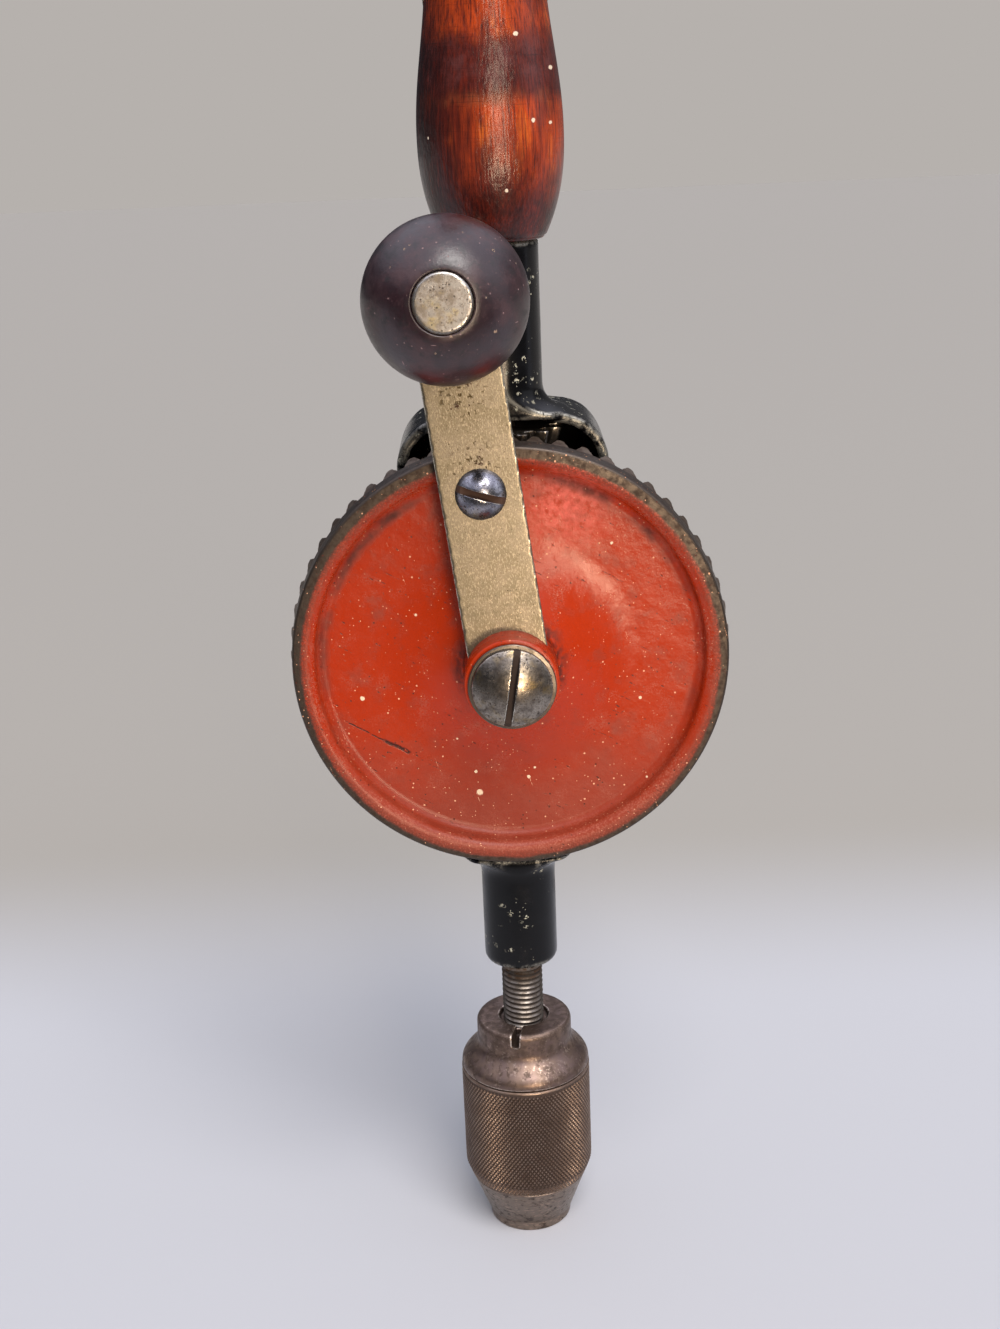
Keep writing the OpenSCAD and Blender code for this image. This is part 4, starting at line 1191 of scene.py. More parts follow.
def grow(name: str, sizes: Mapping[str, Any], finish: Finish,
         lay_out: Callable[[bpy.types.NodeTree, Mapping[str, Socket]], Socket]) -> Mesh:
    """Make a mesh with a Geometry Nodes tree.

    Args:
        name: Name of the tree and the mesh.
        sizes: The tree's named inputs with their values.
        finish: Finish of the result.
        lay_out: Adds the tree's own nodes and returns its geometry.

    Returns:
        A plain mesh with its instances realized.
    """
    kinds = {int: "NodeSocketInt", float: "NodeSocketFloat", bpy.types.Object: "NodeSocketObject"}
    tree = bpy.data.node_groups.new(name, "GeometryNodeTree")
    tree.interface.new_socket("Geometry", in_out="OUTPUT", socket_type="NodeSocketGeometry")
    names = {key: tree.interface.new_socket(key, in_out="INPUT", socket_type=kinds[type(value)])
             for key, value in sizes.items()}
    given = tree.nodes.new("NodeGroupInput")
    shape = lay_out(tree, {key: given.outputs[key] for key in sizes})
    real = add(tree, "GeometryNodeRealizeInstances", {"Geometry": shape})
    dressed = add(tree, "GeometryNodeSetMaterial", {"Geometry": real, "Material": finish.material()})
    add(tree, "NodeGroupOutput", {"Geometry": dressed})

    def prepare(holder: bpy.types.Object) -> None:
        """Add the tree and set its inputs.

        Args:
            holder: Object that carries the mesh.
        """
        modifier = holder.modifiers.new(name, "NODES")
        modifier.node_group = tree
        for key, item in names.items():
            modifier[item.identifier] = sizes[key]

    mesh = baked(bpy.data.meshes.new(name), prepare)
    bpy.data.node_groups.remove(tree)
    return mesh


class Bench:
    """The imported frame, and where finished pieces are set on it."""

    def __init__(self, frame: Mapping[str, Any]) -> None:
        """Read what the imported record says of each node.
        """
        record = frame["record"]
        self.nodes: Mapping[str, bpy.types.Object] = frame["nodes"]
        self.body = {n: b for b, ns in record["behaviour"]["bodies"].items() for n in ns}
        self.slot = {s["node"]: s["material_slot"] for s in record["subparts"]}
        joints = {j["name"]: j for j in frame["joints"]}
        self.axle = Vector((0, 0, joints["crank_turn"]["pos_m"][2]))

    def solid(self, node: str) -> Mesh:
        """Return a joined-up copy of a node's mesh.

        Args:
            node: Name of the node.

        Returns:
            Mesh with its doubles merged.
        """
        mesh = self.nodes[node].data.copy()
        mesh.name = node + "_skin"
        mesh.materials.clear()
        return settle(mesh, crease=30)

    def gear_frame(self) -> Matrix:
        """Return the gear's own frame: X right, Y up, Z toward the crank."""
        return Matrix.Translation(self.axle) @ Matrix.Rotation(math.radians(90), 4, "X")

    def set_piece(self, name: str, mesh: Mesh, node: str, *finishes: Finish,
                  stands_for: bool = True) -> None:
        """Set a finished piece on a node's body.

        Args:
            name: Name of the piece.
            mesh: Its mesh, in the part's frame.
            node: Node that it belongs to.
            finishes: Finishes in the order of the mesh's material numbers.
            stands_for: Whether the node is hidden behind the piece.
        """
        mesh.name = name
        mesh.materials.clear()
        for finish in finishes:
            mesh.materials.append(finish.material())
        piece = put(name, mesh)
        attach(piece, self.body[node])
        if stands_for:
            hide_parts(node)
        LOG.info("%s rides on %s, %d faces", name, self.body[node], len(mesh.polygons))

    def dress(self, node: str, finish: Finish) -> None:
        """Give a node that stays in sight its finish.

        Args:
            node: Name of the node.
            finish: Finish to give it.
        """
        slots = self.nodes[node].data.materials
        slots.clear()
        slots.append(finish.material())
        LOG.info("%s keeps its solid", node)


@dataclass
class FrameCasting:
    """The black casting: hood, bridge, barrel and shank, softly rounded as cast and painted."""

    face: float = 0.55 * MM
    smooth: int = 8
    full_edge: float = 0.5
    wear_passes: int = 3

    def build(self, bench: Bench) -> None:
        """Round the casting's solid, mark its wear and set it in place.

        Args:
            bench: Bench that holds the loaded drill.
        """
        mesh = rounded(bench.solid("frame"), self.face, self.smooth, self.full_edge, self.wear_passes)
        bench.set_piece("frame_casting", mesh, "frame", BlackEnamel())
        for node in ("idler_pin", "thrust_ball", "spindle_washer"):
            bench.dress(node, BrightSteel())


@dataclass
class TurnedHandle:
    """The turned handle: lower swell, waist, upper swell and domed end, with its cross pin."""

    end_d: float = 20.8 * MM
    swell_d: float = 29.6 * MM
    waist_d: float = 23.4 * MM
    top_d: float = 31 * MM
    swell_at: float = 20.5 * MM
    swell_curve: float = 2.4
    waist_at: float = 54 * MM
    dome: float = 16 * MM
    edge: float = 0.7 * MM
    pin_stand: float = 0.05 * MM
    pin_crown: Triple = (0.15 * MM, 0.1 * MM, -0.05 * MM)

    def _diameter(self, height: float, length: float) -> float:
        """Return the handle's diameter at a height above its lower end.

        Args:
            height: Height above the lower end.
            length: Handle's length.

        Returns:
            Diameter in metres.
        """
        if height < self.swell_at:
            left = (1 - height / self.swell_at) ** self.swell_curve
            return self.end_d + (self.swell_d - self.end_d) * (1 - left)
        low, high, start, end = ((self.swell_d, self.waist_d, self.swell_at, self.waist_at)
                                 if height < self.waist_at else
                                 (self.waist_d, self.top_d, self.waist_at, length - self.dome))
        share = (height - start) / (end - start)
        return low + (high - low) * (1 - math.cos(math.pi * share)) / 2

    def outline(self, length: float) -> Outline:
        """Return the half section from the lower end to the dome.

        Args:
            length: Handle's length.

        Returns:
            Points as radius and height.
        """
        steps = 120
        straight = length - self.dome
        side = [(self._diameter(straight * i / steps, length) / 2, straight * i / steps)
                for i in range(1, steps)]
        foot = arc((self.end_d / 2 - self.edge, self.edge), self.edge, 270, 350, 5)
        side = [p for p in side if p[1] > self.edge]
        dome = [(self.top_d / 2 * math.cos(a), straight + self.dome * math.sin(a))
                for a in (math.pi / 2 * i / 24 for i in range(25))]
        dome[-1] = (0.0, length)
        return [(0.0, 0.0), *foot, *side, *dome]

    def build(self, bench: Bench) -> None:
        """Turn the handle and the pin through it.

        Args:
            bench: Bench that holds the loaded drill.
        """
        low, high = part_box("handle")
        length = high.z - low.z
        place = Matrix.Translation((0, 0, low.z))
        mesh = lathe("handle", self.outline(length), place, segments=128)
        bench.set_piece("turned_handle", mesh, "handle", VarnishedWood(low=low.z))
        self._pin(bench, low.z, length)

    def _pin(self, bench: Bench, low: float, length: float) -> None:
        """Make the cross pin, its ends filed to the wood.

        Args:
            bench: Bench to set it on.
            low: Height of the handle's lower end.
            length: Length of the handle.
        """
        corner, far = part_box("handle_pin")
        middle = (corner + far) / 2
        radius = (far.z - corner.z) / 2
        reach = self._diameter(middle.z - low, length) / 2 + self.pin_stand
        half = [(share * radius, reach + rise) for share, rise in zip((0.0, 0.5, 1.0), self.pin_crown)]
        outline = half + [(r, -z) for r, z in reversed(half)]
        turn = Matrix.Translation(middle) @ Matrix.Rotation(math.radians(90), 4, "Y")
        pin = lathe("pin", outline, turn, segments=32)
        bench.set_piece("cross_pin", pin, "handle_pin", BrightSteel())


@dataclass
class BevelGear:
    """The dished gear: collar, bell, flat dish, rolled rim and a ring of worn bevel teeth."""

    teeth: int = 56
    phase: float = math.radians(1.3)
    cone: float = math.atan(1 / 4)
    rim_r: float = 46 * MM
    rim_front: float = 18 * MM
    rim_band: float = 2.6 * MM
    rim_fillet: float = 2.2 * MM
    dish_r: float = 39.2 * MM
    dish_front: float = 13.6 * MM
    dish_back: float = 12.07 * MM
    flat_r: float = 28 * MM
    bell_r: float = 11.5 * MM
    bell_front: float = 19 * MM
    web: float = 2.8 * MM
    hub_r: float = 9.7 * MM
    hub_front: float = 32.6 * MM
    hub_back: float = 8.6 * MM
    bore: float = 4.8 * MM
    pitch_r: float = 46.65 * MM
    tooth_len: float = 7.4 * MM
    addendum: float = 1.4 * MM
    dedendum: float = 1.85 * MM
    space: float = 2.867 * MM
    flank: float = math.tan(math.radians(21))
    tip_round: float = 0.42 * MM
    root_sink: float = 0.3 * MM
    flank_levels: Pair = (-0.6 * MM, 0.2 * MM)
    least_half: float = 0.2 * MM
    crown: tuple[Pair, ...] = ((0.72, 0.12 * MM), (0.34, 0.0))
    tooth_crease: float = 50.0
    tooth_edge: float = 2.4
    boss_r: float = 6.2 * MM
    boss_len: float = 7.84 * MM
    boss_foot: float = 1.2 * MM
    boss_step: float = 0.2 * MM
    edge: float = 0.5 * MM
    collar_fillet: float = 1.9 * MM
    tip_bevel: float = 0.35 * MM
    hub_step: float = 0.7 * MM
    bare_rim: float = 0.45 * MM
    bare_back: float = 0.2 * MM
    # Share of a tooth's length, and how far wear has sunk its tip there, in millimetres.
    stations: tuple[Pair, ...] = (
        (0.0, 0.35), (0.06, 0.0), (0.5, 0.0), (0.93, 0.05), (1.0, 0.4))

    def outline(self) -> Outline:
        """Return the wheel's half section as radius and distance in front of the spindle.

        Returns:
            Points from the bore round to the bore.
        """
        edge, foot = self.edge, self.collar_fillet
        fall = self.bell_front - self.dish_front
        spread = self.flat_r - self.bell_r
        front = [(self.bell_r + spread * u, self.bell_front - fall * (1 - (1 - u) ** 2))
                 for u in (i / 28 for i in range(29))]
        sunk = self.bell_front - self.web
        back = [(self.flat_r - spread * u, self.dish_back + (sunk - self.dish_back) * u * u)
                for u in (i / 16 for i in range(17))]
        rise = self.dish_front + self.rim_fillet
        crest = self.rim_front - self.rim_fillet
        inner_r = (self.pitch_r / math.cos(self.cone) - self.tooth_len) * math.cos(self.cone)
        drop = self.dedendum / math.cos(self.cone)
        rise_rate = math.tan(self.cone)
        return [
            (self.bore, self.hub_back), (self.bore, self.hub_front),
            *arc((self.hub_r - edge, self.hub_front - edge), edge, 90, 0, 6),
            *arc((self.hub_r + foot, self.bell_front + foot), foot, 180, 240, 8),
            *front, (self.dish_r, self.dish_front),
            *arc((self.dish_r, rise), self.rim_fillet, 275, 340, 9),
            *arc((self.rim_r - self.rim_band, crest), self.rim_fillet, 160, 90, 9),
            *arc((self.rim_r - edge, self.rim_front - edge), edge, 90, 0, 5),
            (self.rim_r + self.tip_bevel, self.pitch_r * rise_rate + drop),
            (inner_r, inner_r * rise_rate + drop), (inner_r, self.dish_back), *back,
            (self.hub_r - self.hub_step, sunk), (self.hub_r - self.hub_step, self.hub_back)]

    def tooth(self) -> Mesh:
        """Return one rounded tooth standing on the root cone, pointing along local Y.

        Returns:
            Mesh of the tooth.
        """
        apex = self.pitch_r / math.cos(self.cone)
        half_pitch = math.tan(math.pi / self.teeth)
        out = Vector((0, math.cos(self.cone), math.sin(self.cone)))
        up = Vector((0, math.sin(self.cone), -math.cos(self.cone)))
        levels = [-self.dedendum - self.root_sink, *self.flank_levels, self.addendum - self.tip_round]
        points: list[Vector] = []
        for share, sink in self.stations:
            reach = apex - self.tooth_len * (1 - share)
            radius = reach * math.cos(self.cone)
            side = [(max(radius * half_pitch - self.space / 2 - h * self.flank, self.least_half), h)
                    for h in levels]
            top = side[-1][0]
            side += [(part * top, self.addendum - fall) for part, fall in self.crown]
            row = side + [(-w, h) for w, h in reversed(side)]
            points += [out * reach + up * (h - sink * MM if h > 0 else h) + Vector((w, 0, 0))
                       for w, h in row]
        rows = len(self.stations)
        across = len(points) // rows
        faces = [(r * across + i, r * across + i + 1, (r + 1) * across + i + 1, (r + 1) * across + i)
                 for r in range(rows - 1) for i in range(across - 1)]
        faces += [tuple(range(across)), tuple(range(len(points) - across, len(points)))]
        mesh = bpy.data.meshes.new("tooth")
        mesh.from_pydata(points, [], faces)
        return settle(mesh, crease=self.tooth_crease)

    def tooth_ring(self, finish: Finish) -> Mesh:
        """Return all the teeth, set round the axis by a node tree.

        Args:
            finish: Finish it carries.

        Returns:
            Mesh of the ring.
        """
        pattern = put("tooth_pattern", self.tooth())

        def lay_out(tree: bpy.types.NodeTree, given: Mapping[str, Socket]) -> Socket:
            """Turn one tooth into a ring.

            Args:
                tree: Tree to build in.
                given: Sockets of its named inputs.

            Returns:
                Socket with the finished geometry.
            """
            points = add(tree, "GeometryNodePoints", {"Count": given["Teeth"]})
            step = add(tree, SUM, (2 * math.pi, given["Teeth"]), operation="DIVIDE")
            index = add(tree, "GeometryNodeInputIndex")
            place = add(tree, SUM, (index, 0.5), operation="ADD")
            angle = add(tree, SUM, (place, step, given["Phase"]), operation="MULTIPLY_ADD")
            turn = add(tree, "ShaderNodeCombineXYZ", {"Z": angle})
            tooth = add(tree, "GeometryNodeObjectInfo", {"Object": given["Tooth"]}, out="Geometry")
            return add(tree, "GeometryNodeInstanceOnPoints", {
                "Points": points, "Instance": tooth,
                "Rotation": add(tree, "FunctionNodeEulerToRotation", {"Euler": turn})})

        mesh = grow("gear_teeth", {"Teeth": self.teeth, "Phase": self.phase, "Tooth": pattern},
                    finish, lay_out)
        worn_out = pattern.data
        bpy.data.objects.remove(pattern)
        bpy.data.meshes.remove(worn_out)
        return mesh

    def build(self, bench: Bench, arm: Matrix, screw_at: float, arm_back: float) -> None:
        """Turn the wheel, paint dish and rim apart, and set the teeth.

        Args:
            bench: Bench to set it on.
            arm: The arm's own frame.
            screw_at: Distance of the arm screw along the arm.
            arm_back: Level of the arm's back face in its frame.
        """
        place = bench.gear_frame()
        wheel = lathe("wheel", self.outline(), place, segments=256, crease=42)
        deep = arm_back - self.boss_len
        foot = self.boss_r + self.boss_foot
        boss = lathe("boss", [(0.0, deep), (foot, deep),
                              *arc((foot, deep + self.boss_step + self.boss_foot), self.boss_foot, 270, 180, 6),
                              (self.boss_r, arm_back), (0.0, arm_back)],
                     arm @ Matrix.Translation((0, screw_at, 0)), segments=64)
        mesh = mark_wear(joined("gear_wheel", wheel, boss))
        inverse = place.inverted()
        for face in mesh.polygons:
            spot = inverse @ face.center
            bare = math.hypot(spot.x, spot.y) > self.rim_r - self.bare_rim
            face.material_index = int(bare or spot.z < self.dish_back - self.bare_back)
        axle = tuple(bench.axle)
        steel = GearSteel(axle=axle)
        bench.set_piece("gear_wheel", mesh, "drive_gear", RedEnamel(axle=axle), steel)
        teeth = self.tooth_ring(steel)
        teeth.transform(place)
        teeth = mark_wear(settle(teeth, crease=self.tooth_crease), full=self.tooth_edge)
        bench.set_piece("gear_teeth", teeth, "drive_gear", steel, stands_for=False)


@dataclass
class SlottedScrew:
    """A round-headed slotted screw with its shank behind the head."""

    name: str
    node: str
    head_d: float
    rim: float
    dome: float
    slot: float
    slot_deep: float
    slot_turn: float
    shank_d: float
    shank_len: float
    finish: Finish
    face: float = 0.13 * MM
    full_edge: float = 1.6
    shank_edge: float = 0.4 * MM
    seat: float = 0.3 * MM
    over: float = 1 * MM

    def build(self, bench: Bench, place: Matrix) -> None:
        """Turn the head, cut its slot, round the edges and add the shank.

        Args:
            bench: Bench to set it on.
            place: Frame with its origin under the head and Z out of it.
        """
        radius = self.head_d / 2
        ball = (radius ** 2 + self.dome ** 2) / (2 * self.dome)
        top = self.rim + self.dome
        lean = math.degrees(math.asin(radius / ball))
        crown = arc((0.0, top - ball), ball, 90 - lean, 90, 24)
        crown[-1] = (0.0, top)
        head = lathe("head", [(0.0, 0.0), (radius, 0.0), *crown], segments=192)
        turn = Matrix.Rotation(math.radians(self.slot_turn), 4, "Z")
        floor = Matrix.Translation((0, 0, top + (self.over - self.slot_deep) / 2))
        tool = block((2 * self.head_d, self.slot, self.slot_deep + self.over), turn @ floor)
        head = rounded(cut(head, tool), self.face, full=self.full_edge)
        fill_slot(head, self.slot, math.radians(self.slot_turn))
        half = self.shank_d / 2
        end = -self.shank_len
        shank = lathe("shank", [(0.0, end), (half - self.shank_edge, end), (half, end + self.shank_edge),
                                (half, self.seat), (0.0, self.seat)], segments=64)
        mesh = joined(self.name, head, shank)
        mesh.transform(place)
        bench.set_piece(self.name, mesh, self.node, self.finish)


@dataclass
class Crank:
    """The crank: flat plated arm, the screws that hold it, and the free ball knob on its stud."""

    rest: float = 7.2
    tilt: float = 5.0
    front: float = 27 * MM
    thick: float = 3 * MM
    arm_screw_r: float = 38 * MM
    crank_r: float = 76.9 * MM
    screw_under: float = 33.7 * MM
    washer_r: float = 9 * MM
    washer_t: float = 0.8 * MM
    washer_in: float = 4.76 * MM
    washer_edge: float = 0.2 * MM
    screw_end: float = 10.5 * MM
    knob_r: float = 15.875 * MM
    knob_seat: float = 14.875 * MM
    knob_gap: float = 0.3 * MM
    knob_flat: float = 6.4 * MM
    flat_sink: float = 0.02 * MM
    recess_r: float = 5.8 * MM
    recess: float = 1.8 * MM
    knob_bore: float = 4.05 * MM
    recess_lip: float = 0.25 * MM
    arm_face: float = 0.3 * MM
    stud_face: float = 0.22 * MM
    stud_edge: float = 1.4
    head_from: float = 4.6 * MM
    head_spread: float = 1.04
    screw_rust: Triple = (-1 * MM, 0.0, 6 * MM)
    stud_rust: Triple = (2 * MM, 0.0, -19 * MM)

    def arm_frame(self, bench: Bench) -> Matrix:
        """Return the arm's frame: Y along the arm, Z out of its front face.

        Args:
            bench: Bench that holds the loaded drill.

        Returns:
            Frame with its origin on the axle.
        """
        return (bench.gear_frame() @ Matrix.Rotation(math.radians(self.rest), 4, "Z")
                @ Matrix.Translation((0, 0, self.front))
                @ Matrix.Rotation(math.radians(-self.tilt), 4, "X"))

    def along_arm(self, radius: float) -> float:
        """Return the distance along the leaning arm for a radius from the axle."""
        return radius / math.cos(math.radians(self.tilt))

    def build(self, bench: Bench) -> None:
        """Make the arm, both screws, the washer, the stud and the knob.

        Args:
            bench: Bench that holds the loaded drill.
        """
        arm = self.arm_frame(bench)
        screw = arm @ Matrix.Translation((0, self.along_arm(self.arm_screw_r), 0))
        stud = arm @ Matrix.Translation((0, self.along_arm(self.crank_r), 0))
        plate = WornNickel(
            rust_spots=(tuple(screw.translation + Vector(self.screw_rust)),
                        tuple(stud.translation + Vector(self.stud_rust))),
            drawn=math.radians(-self.rest), hub_at=bench.axle.z)
        bar = rounded(bench.solid("crank_arm"), self.arm_face)
        bench.set_piece("crank_bar", bar, "crank_arm", plate)
        blued = ScrewSteel(
            name="blued_screw_steel", ground=Layer("#a9a8b0", 1.0, 0.2), blued=Layer("#6d6c76", 1.0, 0.28),
            golden=Layer("#8d8172", 1.0, 0.3), dirt=Layer("#40281a", 0.0, 0.8), patch=2.4 * MM)
        SlottedScrew(
            name="arm_screw_slotted", node="arm_screw", head_d=10.4 * MM, rim=0.15 * MM, dome=3.2 * MM,
            slot=1.4 * MM, slot_deep=1.9 * MM, slot_turn=-24, shank_d=5.8 * MM, shank_len=11 * MM,
            finish=blued).build(bench, screw)
        under = bench.gear_frame() @ Matrix.Translation((0, 0, self.screw_under))
        SlottedScrew(
            name="axle_screw_slotted", node="axle_screw", head_d=16.4 * MM, rim=0.9 * MM, dome=2.6 * MM,
            slot=1.35 * MM, slot_deep=2.0 * MM, slot_turn=81, shank_d=9.5 * MM,
            shank_len=self.screw_under + self.screw_end, finish=ScrewSteel(), face=0.16 * MM,
            ).build(bench, under)
        self._washer(bench, under)
        self._rivet(bench, stud)
        self._knob(bench, stud)

    def _rivet(self, bench: Bench, stud: Matrix) -> None:
        """Round the stud, its head spread until it all but fills the knob's recess.

        Args:
            bench: Bench to set it on.
            stud: Frame at the stud's foot, Z along the stud.
        """
        mesh = bench.solid("knob_stud")
        mesh.transform(stud.inverted())
        for vertex in mesh.vertices:
            if vertex.co.xy.length > self.head_from:
                vertex.co.xy *= self.head_spread
        mesh.transform(stud)
        rivet = rounded(mesh, self.stud_face, full=self.stud_edge)
        bench.set_piece("knob_rivet", rivet, "knob_stud", TarnishedNickel())

    def _washer(self, bench: Bench, under: Matrix) -> None:
        """Turn the ring under the axle screw's head, its edges eased.

        Args:
            bench: Bench to set it on.
            under: Frame with its origin under the head.
        """
        edge, outer, inner = self.washer_edge, self.washer_r, self.washer_in
        outline = [(inner, -self.washer_t), *arc((outer - edge, edge - self.washer_t), edge, 270, 360, 4),
                   *arc((outer - edge, -edge), edge, 0, 90, 4), (inner, 0.0)]
        ring = lathe("ring", outline, under, segments=128)
        bench.set_piece("axle_ring", ring, "axle_washer", BrightSteel())

    def _knob(self, bench: Bench, stud: Matrix) -> None:
        """Turn the ball knob with its flat back and the recess for the stud's head.

        Args:
            bench: Bench to set it on.
            stud: Frame at the stud's foot, Z along the stud.
        """
        middle = self.knob_gap + self.knob_seat
        back = -math.degrees(math.acos(math.sqrt(self.knob_r ** 2 - self.knob_seat ** 2) / self.knob_r))
        front = math.degrees(math.acos(self.knob_flat / self.knob_r))
        face = middle + self.knob_r * math.sin(math.radians(front))
        ball = arc((0.0, middle), self.knob_r, back, front - 1.5, 72)
        lip = self.recess_lip
        outline = [(self.knob_bore, self.knob_gap), *ball, (self.knob_flat - lip, face - self.flat_sink),
                   *arc((self.recess_r + lip, face - lip), lip, 90, 180, 4),
                   (self.recess_r, face - self.recess), (self.knob_bore, face - self.recess)]
        mesh = lathe("knob", outline, stud, segments=144)
        bench.set_piece("ball_knob", mesh, "crank_knob", KnobLacquer())


@dataclass
class SpindleAndPinions:
    """The spindle with its cut thread, and the two bevel pinions."""

    thread_d: float = 9.525 * MM
    pitch: float = 25.4 * MM / 20
    thread_low: float = 41 * MM
    thread_high: float = 67.3 * MM
    ridge_share: float = 0.98
    core_share: float = 0.42
    journal_d: float = 9.725 * MM
    journal_edge: float = 0.3 * MM
    top_r: float = 4 * MM
    tooth_face: float = 0.22 * MM
    tooth_smooth: int = 3

    def thread(self, finish: Finish) -> Mesh:
        """Return the thread, a ridge swept along a helix by a node tree.

        Args:
            finish: Finish it carries.

        Returns:
            Mesh of the ridge.
        """
        deep = self.ridge_share * self.pitch / 2
        length = self.thread_high - self.thread_low

        def lay_out(tree: bpy.types.NodeTree, given: Mapping[str, Socket]) -> Socket:
            """Sweep a four-cornered ridge along the helix.

            Args:
                tree: Tree to build in.
                given: Sockets of its named inputs.

            Returns:
                Socket with the finished geometry.
            """
            turns = add(tree, SUM, (given["Length"], given["Pitch"]), operation="DIVIDE")
            helix = add(tree, "GeometryNodeCurveSpiral", {
                "Resolution": 56, "Rotations": turns, "Start Radius": given["Radius"],
                "End Radius": given["Radius"], "Height": given["Length"]})
            upright = add(tree, "GeometryNodeSetCurveNormal", {"Curve": helix}, mode="Z_UP")
            ridge = add(tree, "GeometryNodeCurvePrimitiveCircle", {
                "Resolution": 4, "Radius": given["Depth"]}, mode="RADIUS")
            return add(tree, "GeometryNodeCurveToMesh", {
                "Curve": upright, "Profile Curve": ridge, "Fill Caps": True})

        mesh = grow("spindle_thread", {
            "Length": length, "Pitch": self.pitch, "Radius": self.thread_d / 2 - deep,
            "Depth": deep}, finish, lay_out)
        mesh.transform(Matrix.Translation((0, 0, self.thread_low)))
        return settle(mesh, crease=40)

    def build(self, bench: Bench) -> None:
        """Turn the spindle, cut its thread and round the pinions' teeth.

        Args:
            bench: Bench that holds the loaded drill.
        """
        low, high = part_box("spindle")
        steel = BrightSteel()
        core = self.thread_d / 2 - self.core_share * self.pitch
        journal, edge = self.journal_d / 2, self.journal_edge
        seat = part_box("drive_pinion")[1].z
        rod = lathe("rod", [
            (0.0, low.z), (core, low.z), (core, self.thread_high), (journal - edge, self.thread_high),
            (journal, self.thread_high + edge), (journal, seat), (self.top_r, seat),
            (self.top_r, high.z), (0.0, high.z)], segments=96)
        bench.set_piece("spindle_rod", rod, "spindle", steel)
        bench.set_piece("spindle_thread", self.thread(steel), "spindle", steel, stands_for=False)
        for name, node in (("upper_pinion", "idler_pinion"), ("lower_pinion", "drive_pinion")):
            mesh = rounded(bench.solid(node), self.tooth_face, self.tooth_smooth)
            bench.set_piece(name, mesh, node, steel)
        bench.dress("pinion_pin", steel)


